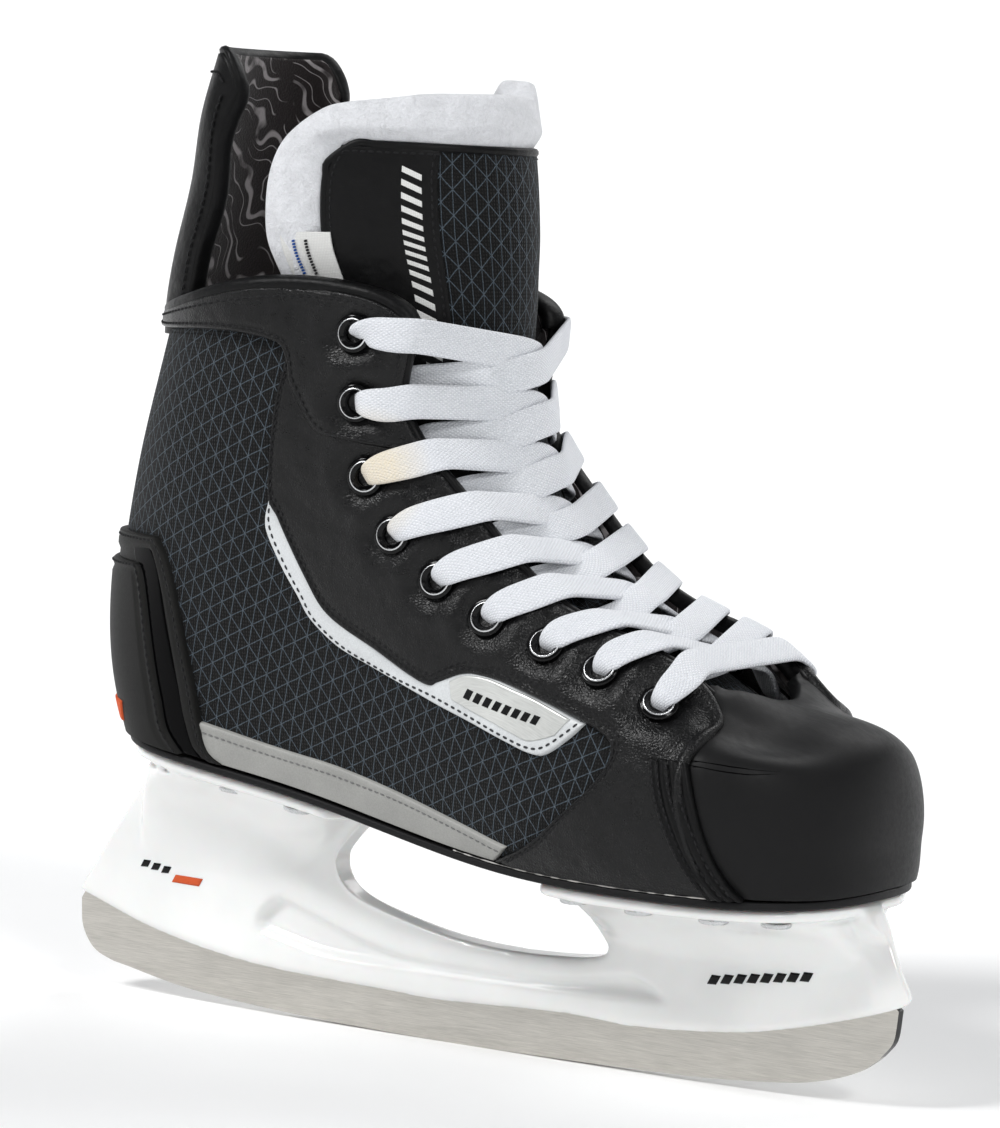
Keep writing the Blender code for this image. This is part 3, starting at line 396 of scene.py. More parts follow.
def mesh_from(points, faces, uv=None):
    mesh = bpy.data.meshes.new("piece")
    mesh.from_pydata((np.asarray(points, float) * MM).tolist(), [], faces)
    if uv is not None:
        layer = mesh.uv_layers.new(name="UVMap")
        corners = np.zeros(len(mesh.loops), int)
        mesh.loops.foreach_get("vertex_index", corners)
        layer.data.foreach_set("uv", (np.asarray(uv, float) * MM)[corners].ravel())
    mesh.shade_smooth()
    return mesh


@contextmanager
def edited(mesh):
    """The mesh opened in bmesh, and written back at the end."""
    work = bmesh.new()
    work.from_mesh(mesh)
    yield work
    work.to_mesh(mesh)
    work.free()


def grid_quads(rows, columns, start=0):
    corner = np.arange(rows * columns).reshape(rows, columns) + start
    return np.stack([corner[:-1, :-1], corner[:-1, 1:], corner[1:, 1:], corner[1:, :-1]],
                    -1).reshape(-1, 4)


def tube_faces(rings, corners):
    """Faces of a closed tube: quads from ring to ring, and a cap at each end."""
    corner = np.arange(rings * corners).reshape(rings, corners)
    after = np.roll(corner, -1, 1)
    quads = np.stack([corner[1:], after[1:], after[:-1], corner[:-1]], -1).reshape(-1, 4)
    return quads.tolist() + [corner[0].tolist(), corner[-1, ::-1].tolist()]


def shell_mesh(top, bottom, uv=None):
    """A closed body between two grids of points, with its rim joined."""
    rows, columns = top.shape[:2]
    count = rows * columns
    upper, lower = grid_quads(rows, columns), grid_quads(rows, columns, count)[:, ::-1]
    corner = np.arange(count).reshape(rows, columns)
    rim = np.concatenate([corner[0, :-1], corner[:-1, -1], corner[-1, :0:-1], corner[:0:-1, 0]])
    after = np.roll(rim, -1)
    faces = np.vstack([upper, lower, np.stack([after, rim, rim + count, after + count], -1)])
    r, c = rows // 2, columns // 2
    facing = np.cross(top[r, c] - top[r, c - 1], top[r, c] - top[r - 1, c])
    if np.dot(facing, top[r, c] - bottom[r, c]) < 0:
        faces = faces[:, ::-1]
    points = np.vstack([top.reshape(-1, 3), bottom.reshape(-1, 3)])
    if uv is not None:
        uv = np.vstack([uv.reshape(-1, 2)] * 2)
    return mesh_from(points, faces.tolist(), uv)


def rounding(distance, radius):
    """How far a rounded edge has risen, from 0 to 1, at a distance from the edge."""
    if radius <= 0:
        return np.ones_like(distance)
    share = np.clip(distance / radius, 0, 1)
    return np.sqrt(1 - (1 - share) ** 2)


def risen(distances, radii):
    """How far a surface has risen inside its rounded edges, from the distances to them."""
    return np.min([rounding(*pair) for pair in zip(distances, radii)], axis=0)


def cumulated(points, axis):
    steps = np.linalg.norm(np.diff(points, axis=axis), axis=-1)
    zero = np.zeros_like(np.take(steps, [0], axis=axis))
    return np.concatenate([zero, np.cumsum(steps, axis=axis)], axis=axis)


EDGES = ("first", "second", "start", "end")


def edge_distances(points):
    """Distances along a grid's surface from each of its edges, in the order of EDGES."""
    down, along = cumulated(points, 0), cumulated(points, 1)
    return down, down[-1:] - down, along, along[:, -1:] - along


def line_in(top, normal, distances, edge, inset):
    """Points and normals a fixed distance in from an edge of a grid."""
    grids = distances[EDGES.index(edge)], top, normal
    if edge in EDGES[:2]:
        grids = [grid.swapaxes(0, 1) for grid in grids]
    found = []
    for line, points, normals in zip(*grids):
        order = slice(None) if line[0] < line[-1] else slice(None, None, -1)
        both = np.hstack([points, normals])[order]
        found.append([np.interp(inset, line[order], row) for row in both.T])
    found = np.array(found)
    return found[:, :3], unit(found[:, 3:])


class Sheet:
    """A piece of the upper as a grid: rows run between its two outlines, columns along them."""

    flat = None

    def __init__(self, station, height, layer, relief=None, side=-1):
        low, high, radii, _ = layer
        self.side, self.station, self.height, self.low = side, station, height, low
        where = around(station, side)
        self.base, self.normal = boot(where, height), boot_normal(where, height)
        self.distances = edge_distances(self.base)
        self.across, self.back_across, self.along, self.back_along = self.distances
        rise = risen(self.distances, radii)
        out = low + (high - low) * rise
        if relief:
            out = out + relief(self) * ease(rise, 0, SWELL_FROM)
        self.top = self.base + out[..., None] * self.normal

    def mesh(self):
        flat = self.flat
        if flat is None:
            middle = self.along[len(self.along) // 2]
            flat = np.stack([np.broadcast_to(middle, self.along.shape), self.across], -1)
        return shell_mesh(self.top, self.base + (self.low - UNDERLAP) * self.normal, flat)

    def edge_line(self, edge, inset):
        return line_in(self.top, self.normal, self.distances, edge, inset)

    def free_edge(self):
        """Distance from the nearest edge, other than the one at the sole."""
        return np.minimum(np.minimum(self.along, self.back_along), self.back_across)


def edge_shares(length, spacing):
    """Shares along a length, closer together near both ends."""
    near = np.array(NEAR_EDGE) / max(length, 3 * NEAR_EDGE[-1])
    count = max(int(round(length / spacing)), 4)
    inner = np.linspace(near[-1], 1 - near[-1], count + 1)
    return np.concatenate([near[:-1], inner, 1 - near[:-1][::-1]])


def panel(first, second, layer, relief=None, side=-1):
    """A sheet of the upper between two outlines that run side by side."""
    spacing = layer[-1]
    first, second = np.array(first, float), np.array(second, float)
    ends = [boot(line[:, 0], line[:, 1]) for line in (first, second)]
    length = max(lengths_along(line)[-1] for line in ends)
    width = np.linalg.norm(ends[0] - ends[1], axis=1).mean()
    s, t = edge_shares(length, spacing), edge_shares(width, spacing)
    a = catmull(first, s * (len(first) - 1))
    b = catmull(second, s * (len(second) - 1))
    spot = a[None] + (b - a)[None] * t[:, None, None]
    height = np.clip(spot[..., 1], 0, RAIL_TOP)
    return Sheet(spot[..., 0], height, layer, relief, side)


def panel_pair(name, outlines, finish, relief=None, node=None):
    """A panel on each side of the boot, in place of a pair of CAD nodes. Gives both sheets."""
    made = []
    for label, side in SIDES:
        made.append(panel(*outlines, LAYERS[name], relief, side))
        add_piece(f"{name}_{label}", made[-1], finish,
                  replaces=(f"{node}_{label}",) if node else ())
    return made


def wrapped(edge, centre, height_range, layer, relief=None):
    """A sheet that wraps the toe or the heel, with an outline that is the same on both sides."""
    fine, spacing = curve(edge, 200), layer[-1]
    bottom, top = height_range
    level = (bottom + top) / 2
    reach = abs(np.interp(level, fine[:, 1], fine[:, 0]) - centre)
    line = boot(np.linspace(centre - reach, centre + reach, 60), np.full(60, level))
    rise = boot(np.full(40, centre - reach * 0.6), np.linspace(bottom, top, 40))
    s = edge_shares(lengths_along(line)[-1], spacing)
    t = edge_shares(lengths_along(rise)[-1], spacing)
    height = bottom + (top - bottom) * t
    reach = abs(np.interp(height, fine[:, 1], fine[:, 0]) - centre)
    station = centre + reach[:, None] * (2 * s - 1)[None]
    return Sheet(station, np.broadcast_to(height[:, None], station.shape), layer, relief)


def squared_circle(count, power):
    """Cosines and sines round a circle, drawn out towards a square by a power below 1."""
    angle = np.linspace(0, 2 * math.pi, count, endpoint=False)
    return [np.sign(value) * np.abs(value) ** power for value in (np.cos(angle), np.sin(angle))]


def sweep_mesh(centre, across, half_width, half_thickness, corners=12, power=1.0):
    """A flat or round cord along a line of points; across is the direction of its width."""
    tangent = unit(np.gradient(centre, axis=0))
    across = unit(across - (across * tangent).sum(1, keepdims=True) * tangent)
    up = np.cross(tangent, across)
    side, rise = squared_circle(corners, power)
    count = len(centre)
    width = np.broadcast_to(half_width, count)[:, None, None]
    thick = np.broadcast_to(half_thickness, count)[:, None, None]
    points = (centre[:, None] + across[:, None] * width * side[None, :, None]
              + up[:, None] * thick * rise[None, :, None])
    uv = np.stack([np.broadcast_to(side[None] * 5, (count, corners)),
                   np.broadcast_to(lengths_along(centre)[:, None], (count, corners))], -1)
    return mesh_from(points.reshape(-1, 3), tube_faces(count, corners), uv.reshape(-1, 2))


class Stitching:
    """Rows of raised stitches of one thread, collected into one mesh."""

    reach = np.array((-1, -0.72, 0, 0.72, 1.0))
    girth = np.array((0.35, 0.85, 1, 0.85, 0.35))
    corners = 6

    def __init__(self):
        self.points, self.count = [], 0

    def row(self, points, normals, pitch=2.6, length=2.0, radius=0.32, lift=0.12):
        points, normals = resample(points, 0.5, normals)
        along = lengths_along(points)
        places = np.arange(pitch / 2, along[-1] - pitch / 2, pitch)
        centre, normal, tangent = (
            np.array([np.interp(places, along, row) for row in values.T]).T
            for values in (points, normals, np.gradient(points, axis=0)))
        tangent, normal = unit(tangent), unit(normal)
        side = np.cross(tangent, normal)
        angle = np.arange(self.corners) * 2 * math.pi / self.corners
        arch, girth = lift - 0.3 * self.reach ** 2, radius * self.girth
        spot = (centre[:, None, None]
                + tangent[:, None, None] * (self.reach * length / 2)[None, :, None, None]
                + normal[:, None, None]
                * (arch[:, None] + girth[:, None] * np.sin(angle))[None, ..., None]
                + side[:, None, None]
                * (1.15 * girth[:, None] * np.cos(angle))[None, ..., None])
        self.points.append(spot.reshape(-1, 3))
        self.count += len(places)

    def mesh(self):
        one, size = tube_faces(len(self.reach), self.corners), len(self.reach) * self.corners
        faces = [[corner + size * k for corner in face] for k in range(self.count) for face in one]
        return mesh_from(np.vstack(self.points), faces)


def turned_mesh(profile, steps, second, facing=0.1):
    """A closed profile of (radius, z) points turned round Z, with its second finish on the
    ring between two radii that faces up, or down for a facing below 0."""
    profile = np.array(profile, float)
    angle = np.linspace(0, 2 * math.pi, steps, endpoint=False)
    points = np.stack([np.outer(np.cos(angle), profile[:, 0]),
                       np.outer(np.sin(angle), profile[:, 0]),
                       np.broadcast_to(profile[:, 1], (steps, len(profile)))], -1)
    corner = np.arange(steps * len(profile)).reshape(steps, -1)
    turned, after = np.roll(corner, -1, 0), np.roll(corner, -1, 1)
    both = np.roll(turned, -1, 1)
    faces = np.stack([corner, turned, both, after], -1).reshape(-1, 4)
    mesh = mesh_from(points.reshape(-1, 3), faces.tolist())
    with edited(mesh) as work:
        bmesh.ops.remove_doubles(work, verts=work.verts, dist=1e-6)
        bmesh.ops.recalc_face_normals(work, faces=work.faces)
    for face in mesh.polygons:
        radius = math.hypot(face.center.x, face.center.y) / MM
        if second[0] < radius < second[1] and face.normal.z * facing > facing * facing:
            face.material_index = 1
    return mesh


def placed(mesh, point, normal):
    """The mesh moved so that its Z axis stands on the point along the normal."""
    turn = Vector(normal).to_track_quat("Z", "Y").to_matrix().to_4x4()
    moved = mesh.copy()
    moved.transform(Matrix.Translation(Vector(point) * MM) @ turn)
    return moved


# ---------------------------------------------------------------- materials

class Finish:
    """A node material with short helpers; links go to a Principled BSDF."""

    def __init__(self, name, **constants):
        self.material = bpy.data.materials.new(name)
        self.material.use_nodes = True
        self.tree = self.material.node_tree
        self.shader = self.tree.nodes["Principled BSDF"]
        for key, value in constants.items():
            label = key.replace("_", " ").title().replace("Ior", "IOR")
            socket = self.shader.inputs[label]
            socket.default_value = (*value, 1) if isinstance(value, tuple) else value
        self.height = None

    def node(self, kind, inputs=None, **settings):
        made = self.tree.nodes.new("ShaderNode" + kind)
        for key, value in settings.items():
            setattr(made, key, value)
        for key, value in (inputs or {}).items():
            if isinstance(value, bpy.types.NodeSocket):
                self.tree.links.new(value, made.inputs[key])
            else:
                made.inputs[key].default_value = value
        return made

    def place(self, scale=(1, 1, 1), turn=0.0, uv=False):
        """Coordinates in millimetres, scaled: on the object, or on its unrolled surface."""
        source = self.node("TexCoord").outputs["UV" if uv else "Object"]
        return self.node("Mapping", {"Vector": source, "Scale": [s / MM for s in scale],
                                     "Rotation": (0, 0, turn)}).outputs["Vector"]

    def noise(self, where, scale=1.0, detail=3.0, roughness=0.5, distortion=0.0):
        return self.node("TexNoise", {"Vector": where, "Scale": scale, "Detail": detail,
                                      "Roughness": roughness, "Distortion": distortion}
                         ).outputs["Fac"]

    def wave(self, where, scale, distortion, direction="X", detail=2.0, detail_scale=1.0):
        return self.node("TexWave", {"Vector": where, "Scale": scale, "Distortion": distortion,
                                     "Detail": detail, "Detail Scale": detail_scale},
                         bands_direction=direction).outputs["Fac"]

    def math(self, operation, a, b):
        return self.node("Math", {0: a, 1: b}, operation=operation).outputs[0]

    def times(self, a, b):
        return self.math("MULTIPLY", a, b)

    def total(self, *parts):
        """The sum of pairs of a value and its weight."""
        made = None
        for value, weight in parts:
            value = self.times(value, weight) if weight != 1 else value
            made = self.math("ADD", made, value) if made else value
        return made

    def fit(self, value, low, high, to_low=0.0, to_high=1.0):
        return self.node("MapRange", {"Value": value, "From Min": low, "From Max": high,
                                      "To Min": to_low, "To Max": to_high}).outputs["Result"]

    def mix(self, share, first, second):
        made = self.node("Mix", {"Factor": share}, data_type="RGBA")
        for key, value in ((6, first), (7, second)):
            if isinstance(value, tuple):
                made.inputs[key].default_value = (*value, 1)
            else:
                self.tree.links.new(value, made.inputs[key])
        return made.outputs[2]

    def colour(self, share, first, second):
        """Colours the surface from the first at share 0 to the second at 1."""
        self.tree.links.new(self.mix(share, first, second), self.shader.inputs["Base Color"])

    def rough(self, value):
        self.tree.links.new(value, self.shader.inputs["Roughness"])

    def bump(self, value, distance):
        """Adds surface relief of this depth in millimetres."""
        made = self.node("Bump", {"Height": value, "Distance": distance * MM, "Strength": 1.0})
        if self.height:
            self.tree.links.new(self.height, made.inputs["Normal"])
        self.height = made.outputs["Normal"]
        self.tree.links.new(self.height, self.shader.inputs["Normal"])


def toned(colour, share):
    return tuple(min(c * share, 1) for c in colour)


def leather(name, colour=(0.003, 0.003, 0.0033), rough=(0.24, 0.38), grain=1.25, depth=0.09,
            shine=0.27):
    made = Finish(name, specular_ior_level=shine)
    where = made.place()
    warp = made.noise(where, 0.35, 3)
    cells = made.node("TexVoronoi", {"Vector": where, "Scale": 0.95 * grain, "Randomness": 1.0},
                      feature="DISTANCE_TO_EDGE").outputs["Distance"]
    pebble = made.fit(cells, 0.0, 0.34)
    fine = made.noise(where, 2.6 * grain, 4, 0.6)
    made.bump(made.total((pebble, 0.75), (fine, 0.6)), depth)
    made.bump(made.noise(where, 0.09, 3), 1.1)
    made.colour(made.fit(made.total((warp, 1), (pebble, 1)), 0.6, 1.5), toned(colour, 0.62), colour)
    made.rough(made.fit(made.total((fine, 1), (warp, 1)), 0.7, 1.3, *rough))
    return made.material


def lattice_fabric(name, turn, pitch, step):
    """Black woven cloth printed with thin lines in three directions that form triangles."""
    made = Finish(name, specular_ior_level=0.2, sheen_weight=0.04, sheen_roughness=0.5)
    where = made.place(uv=True)
    split = made.node("SeparateXYZ", {"Vector": made.place(uv=True, turn=turn)})
    x, y = split.outputs["X"], split.outputs["Y"]
    lean = made.times(x, step / 2 / pitch)
    wobble = made.fit(made.noise(where, 0.5, 2), 0.3, 0.7, -0.012, 0.012)
    lines = None
    for value, spacing, width in ((x, pitch, 0.038), (made.math("ADD", y, lean), step, 0.03),
                                  (made.math("SUBTRACT", y, lean), step, 0.03)):
        place = made.math("ADD", made.math("DIVIDE", value, spacing), wobble)
        away = made.math("PINGPONG", place, 0.5)
        line = made.fit(away, width * 0.55, width * 1.25, 1.0, 0.0)
        lines = made.math("MAXIMUM", lines, line) if lines else line
    weave = made.times(made.wave(where, 0.34, 0.8), made.wave(where, 0.3, 0.8, "Y"))
    speck = made.noise(where, 1.9, 3, 0.7)
    worn = made.fit(speck, 0.32, 0.6, 0.35, 1.0)
    cloth = made.mix(made.times(weave, speck), (0.002, 0.0022, 0.0024), (0.016, 0.0165, 0.017))
    made.colour(made.times(lines, worn), cloth, (0.075, 0.1, 0.125))
    made.rough(made.fit(lines, 0, 1, 0.8, 0.6))
    made.bump(weave, 0.28)
    made.bump(lines, 0.06)
    return made.material


def felt_finish(name, colour=(0.78, 0.79, 0.82)):
    made = Finish(name, roughness=0.95, specular_ior_level=0.2, sheen_weight=0.4,
                  sheen_roughness=0.6)
    where = made.place()
    fibres = made.noise(where, 1.3, 6, 0.7, 1.2)
    clumps = made.noise(where, 0.16, 4, 0.6, 0.6)
    tone = made.total((fibres, 0.6), (clumps, 0.5))
    made.colour(made.fit(tone, 0.35, 0.72), toned(colour, 0.8), toned(colour, 1.12))
    made.bump(fibres, 0.55)
    made.bump(clumps, 1.4)
    return made.material


def lace_finish(stain_place):
    """White braid with a yellowish stain round one place."""
    made = Finish("lace_weave", roughness=0.92, specular_ior_level=0.2, sheen_weight=0.3,
                  sheen_roughness=0.6)
    braid = made.times(*(made.wave(made.place(turn=turn, uv=True), 0.36, 0.5, detail=1.0)
                         for turn in (0.6, -0.6)))
    fuzz = made.noise(made.place(), 1.6, 5, 0.65)
    grey = made.noise(made.place(uv=True), 0.05, 3)
    clean = made.mix(made.fit(made.total((braid, 1), (fuzz, 1)), 0.45, 1.15),
                     (0.64, 0.66, 0.7), (0.86, 0.87, 0.9))
    clean = made.mix(made.fit(grey, 0.42, 0.75, 0, 0.35), clean, (0.62, 0.64, 0.69))
    offset = made.node("VectorMath", {0: made.node("TexCoord").outputs["Object"],
                                      1: [c * MM for c in stain_place]}, operation="DISTANCE")
    near = made.fit(offset.outputs["Value"], 0.010, 0.021, 0.85, 0.0)
    made.colour(made.times(near, made.fit(fuzz, 0.3, 0.6, 0.6, 1.0)), clean, (0.78, 0.68, 0.5))
    made.bump(braid, 0.22)
    made.bump(fuzz, 0.16)
    return made.material


def plastic(name, colour, rough, coat=0.0, grain=0.0, subsurface=0.0, shine=0.5):
    made = Finish(name, coat_weight=coat, coat_roughness=0.08, subsurface_weight=subsurface,
                  subsurface_scale=0.004, specular_ior_level=shine)
    where = made.place()
    scuff = made.noise(made.place((0.25, 1, 1), 0.3), 0.6, 5, 0.7)
    made.colour(made.fit(made.noise(where, 0.03, 4), 0.35, 0.65), toned(colour, 0.93), colour)
    made.rough(made.fit(scuff, 0.35, 0.75, *rough))
    if grain:
        made.bump(made.noise(where, 1.6, 4, 0.6), grain)
    return made.material


def steel_finish(name, colour=(0.56, 0.54, 0.5), stretch=0.03, rough=(0.3, 0.52)):
    made = Finish(name, metallic=1.0)
    fine = made.noise(made.place((stretch, 1, 1)), 4.5, 5, 0.7)
    broad = made.noise(made.place((stretch * 2, 0.4, 0.6)), 0.6, 4, 0.6)
    marks = made.total((fine, 0.85), (broad, 0.2))
    tone = made.total((marks, 1), (made.noise(made.place(), 0.07, 3), 0.15))
    made.colour(made.fit(tone, 0.35, 0.85), toned(colour, 0.66), toned(colour, 1.2))
    made.rough(made.fit(marks, 0.35, 0.75, *rough))
    made.bump(fine, 0.05)
    return made.material


def trim_finish(name, colour, rough, depth=0.04, metallic=0.0, brushed=False, shine=0.5):
    made = Finish(name, metallic=metallic, specular_ior_level=shine)
    where = made.place((0.08, 1, 1), 0.35, True) if brushed else made.place()
    grain = made.noise(where, 2.2, 5, 0.65)
    tone = made.total((grain, 0.6), (made.noise(made.place(), 0.08, 3), 0.4))
    made.colour(made.fit(tone, 0.35, 0.65), toned(colour, 0.82), toned(colour, 1.1))
    made.rough(made.fit(grain, 0.3, 0.7, *rough))
    made.bump(grain, depth)
    return made.material


def lining_finish():
    """Dark brushed cloth with loose grey loops of a plain made-up pattern."""
    made = Finish("lining_cloth", roughness=0.85, specular_ior_level=0.2, sheen_weight=0.3)
    where = made.place()
    drift = made.node("TexNoise", {"Vector": where, "Scale": 0.07, "Detail": 1.0}).outputs["Color"]
    drift = made.node("VectorMath", {0: drift, 1: (26, 26, 26)}, operation="MULTIPLY").outputs[0]
    bent = made.node("VectorMath", {0: where, 1: drift}, operation="ADD").outputs[0]
    bands = made.wave(bent, 0.028, 3.0, "DIAGONAL", 1.5, 0.5)
    loops = made.fit(made.math("PINGPONG", made.times(bands, 1.6), 0.5), 0.03, 0.1, 1.0, 0.0)
    broken = made.fit(made.noise(where, 0.11, 2), 0.38, 0.5)
    fibre = made.noise(where, 1.8, 4)
    cloth = made.mix(fibre, (0.005, 0.0035, 0.0035), (0.022, 0.016, 0.016))
    made.colour(made.times(loops, broken), cloth, (0.3, 0.28, 0.28))
    made.bump(fibre, 0.3)
    return made.material


def woven_finish(name, colour):
    made = Finish(name, roughness=0.8, specular_ior_level=0.25)
    where = made.place()
    weave = made.times(*(made.wave(where, 0.7, 0.4, direction) for direction in "XZ"))
    made.colour(weave, toned(colour, 0.8), colour)
    made.bump(weave, 0.12)
    return made.material


def eyelet_place(number, side, out=0.0):
    station, height = EYELETS[number - 1]
    return boot(around(station, side), height, out)


BLACK_LEATHER = leather("pebbled_leather")
SMOOTH_LEATHER = leather("smooth_leather", (0.004, 0.004, 0.0043), (0.34, 0.48), 1.6, 0.03, 0.15)
DULL_TRIM = trim_finish("dull_trim", (0.011, 0.011, 0.0105), (0.45, 0.6), 0.05, shine=0.1)
GLOSS_TRIM = plastic("patent_trim", (0.0012, 0.0012, 0.0014), (0.05, 0.1), shine=0.04)
MESH_SIDE = lattice_fabric("lattice_cloth_side", math.radians(14), 3.9, 6.4)
MESH_TONGUE = lattice_fabric("lattice_cloth_tongue", 0.0, 3.6, 7.4)
CAP_PLASTIC = plastic("cap_plastic", (0.0082, 0.0082, 0.0085), (0.42, 0.56), grain=0.03, shine=0.12)
SOLE_PLASTIC = plastic("sole_plastic", (0.008, 0.008, 0.0085), (0.42, 0.6), grain=0.05, shine=0.15)
WHITE_PLASTIC = plastic("white_plastic", (0.83, 0.835, 0.825), (0.13, 0.24), 0.25, 0.0, 0.12)
STEEL = steel_finish("brushed_steel")
RIVET_METAL = steel_finish("rivet_metal", (0.62, 0.63, 0.64), 1.0, (0.2, 0.35))
SILVER_TRIM = trim_finish("silver_trim", (0.6, 0.62, 0.63), (0.34, 0.48), 0.03)
PLATE_METAL = trim_finish("plate_metal", (0.62, 0.63, 0.61), (0.3, 0.42), 0.04, 0.55, True)
GREY_TRIM = trim_finish("grey_trim", (0.3, 0.3, 0.285), (0.42, 0.55), 0.03)
ORANGE_TAG = woven_finish("orange_tag", (0.75, 0.12, 0.035))
FELT = felt_finish("white_felt")
LABEL = woven_finish("white_label", (0.85, 0.85, 0.83))
LACE = lace_finish(eyelet_place(3, -1, 3.0))
LINING = lining_finish()
FOAM = woven_finish("footbed_cloth", (0.035, 0.035, 0.038))
BOARD = woven_finish("fibre_board", (0.3, 0.26, 0.2))
BLACK_ENAMEL = plastic("black_enamel", (0.002, 0.002, 0.0022), (0.08, 0.16), shine=0.2)
BLACK_THREAD = woven_finish("black_thread", (0.014, 0.014, 0.015))
GREY_THREAD = woven_finish("grey_thread", (0.2, 0.2, 0.2))
DARK_THREAD = woven_finish("dark_thread", (0.05, 0.052, 0.056))
BLUE_THREAD = woven_finish("blue_thread", (0.02, 0.09, 0.35))
GLUE = trim_finish("glue", (0.45, 0.44, 0.42), (0.4, 0.6))

black_stitches, grey_stitches, dark_stitches = Stitching(), Stitching(), Stitching()


# ---------------------------------------------------------------- stage and camera

CAMERA_AZIMUTH, CAMERA_ELEVATION, CAMERA_ROLL = (math.radians(a) for a in (32, 5, 2))
CAMERA_TARGET, CAMERA_DISTANCE, CAMERA_LENS = Vector((0.0061, 0, 0.1425)), 1.25, 137.1
LIGHTS = (("key", (-0.45, -0.7, 0.9), 2.0, 16), ("fill", (0.75, -0.5, 0.75), 0.85, 12),
          ("back", (0.1, 0.75, 0.8), 1.1, 40))
WORLD_COLOUR, WORLD_STRENGTH = (0.93, 0.96, 1, 1), 0.21
FLOOR_FLAT, FLOOR_RIM, FLOOR_RISE, FLOOR_SIDES = 2200, 3600, 1300, 97


def make_camera():
    data = bpy.data.cameras.new("camera")
    data.lens = CAMERA_LENS
    data.sensor_width = 36
    data.clip_start, data.clip_end = 0.05, 30
    camera = bpy.data.objects.new("camera", data)
    bpy.context.scene.collection.objects.link(camera)
    back = Vector((math.sin(CAMERA_AZIMUTH) * math.cos(CAMERA_ELEVATION),
                   -math.cos(CAMERA_AZIMUTH) * math.cos(CAMERA_ELEVATION),
                   math.sin(CAMERA_ELEVATION)))
    camera.location = CAMERA_TARGET + back * CAMERA_DISTANCE
    aim = (-back).to_track_quat("-Z", "Y").to_matrix()
    camera.rotation_euler = (aim @ Matrix.Rotation(CAMERA_ROLL, 3, "Z")).to_euler()
    bpy.context.scene.camera = camera


def make_stage():
    """A pale round floor that sweeps up at its rim, and soft light from three sides."""
    scene = bpy.context.scene
    scene.view_settings.view_transform = "Standard"
    scene.world = bpy.data.worlds.new("studio")
    scene.world.use_nodes = True
    background = scene.world.node_tree.nodes["Background"].inputs
    background["Color"].default_value = WORLD_COLOUR
    background["Strength"].default_value = WORLD_STRENGTH
    for name, towards, strength, softness in LIGHTS:
        data = bpy.data.lights.new(name, "SUN")
        data.energy, data.angle = strength, math.radians(softness)
        light = bpy.data.objects.new(name, data)
        scene.collection.objects.link(light)
        light.rotation_euler = Vector(towards).to_track_quat("Z", "Y").to_euler()
    radius = np.concatenate([np.linspace(1, FLOOR_FLAT, 6),
                             np.linspace(FLOOR_FLAT, FLOOR_RIM, 24)[1:]])
    height = FLOOR_RISE * np.clip((radius - FLOOR_FLAT) / (FLOOR_RIM - FLOOR_FLAT), 0, 1) ** 2
    turn = np.linspace(0, 2 * math.pi, FLOOR_SIDES)
    grid = np.stack([np.outer(radius, np.cos(turn)), np.outer(radius, np.sin(turn)),
                     np.broadcast_to(height[:, None], (len(radius), FLOOR_SIDES))], -1)
    grid[..., 2] += cad_low.z / MM
    mesh = mesh_from(grid.reshape(-1, 3), grid_quads(*grid.shape[:2]).tolist())
    pale = Finish("floor_paint", roughness=0.7, specular_ior_level=0.2)
    grain = pale.noise(pale.place((0.01, 0.01, 0.01)), 3.0, 3)
    pale.colour(grain, (0.96, 0.96, 0.96), (0.975, 0.975, 0.975))
    mesh.materials.append(pale.material)
    floor = bpy.data.objects.new("floor", mesh)
    scene.collection.objects.link(floor)


# ---------------------------------------------------------------- lace

LACE_HALF_WIDTH, LACE_HALF_THICKNESS = 5.0, 0.9
STRAND_LIFT = {-1: 2.2, 1: 4.4}
STRAND_BOW = {-1: 1.75, 1: 0.8}


def row_direction(station, height, side):
    """Direction up the throat along the boot."""
    where = around(np.array([station - 0.1, station + 0.1]), side)
    low, high = boot(where, np.full(2, min(height, RAIL_TOP)))
    return unit(high - low)


def boot_knot(station, height, side, out, half_width, half_thickness):
    return (boot(around(station, side), height, out), row_direction(station, height, side),
            half_width, half_thickness)


def tongue_knot(station, across, out):
    point, normal, up = tongue_frame(station, across)
    return point + out * normal, up, LACE_HALF_WIDTH, LACE_HALF_THICKNESS


def edge_knot(edge, side, out, beyond):
    """A place past the throat's edge, where the lace turns over it."""
    where = around(edge, side)
    point, below = boot(where, RAIL_TOP, out), boot(where, RAIL_TOP - 0.1, out)
    return (point + beyond * unit(point - below), row_direction(edge, RAIL_TOP, side),
            LACE_HALF_WIDTH, LACE_HALF_THICKNESS)


def tongue_station(number):
    """The tongue's station level with the lace at that eyelet row."""
    middle = boot(LACE_AT_THROAT[number - 1], RAIL_TOP)
    stations = np.linspace(0, 5, 201)
    line = catmull(TONGUE_TABLE, stations)[:, :2]
    return float(stations[np.argmin(np.hypot(line[:, 0] - middle[0], line[:, 1] - middle[2]))])


def out_of_eyelet(number, side):
    """From inside the boot through an eyelet and over the throat's edge."""
    station, height = EYELETS[number - 1]
    edge = LACE_AT_THROAT[number - 1]
    knots = []
    for share, *rest in ((0, -7.5, 2.3, 1.4), (0, -1.0, 2.5, 1.6), (0.07, 2.8, 3.5, 1.35),
                         (0.3, 4.2, 4.5, 1.1), (0.72, 3.7, 5.0, 0.9)):
        knots.append(boot_knot(station + (edge - station) * share,
                               height + (RAIL_TOP - height) * share, side, *rest))
    return knots + [edge_knot(edge, side, 2.2, 2.6)]


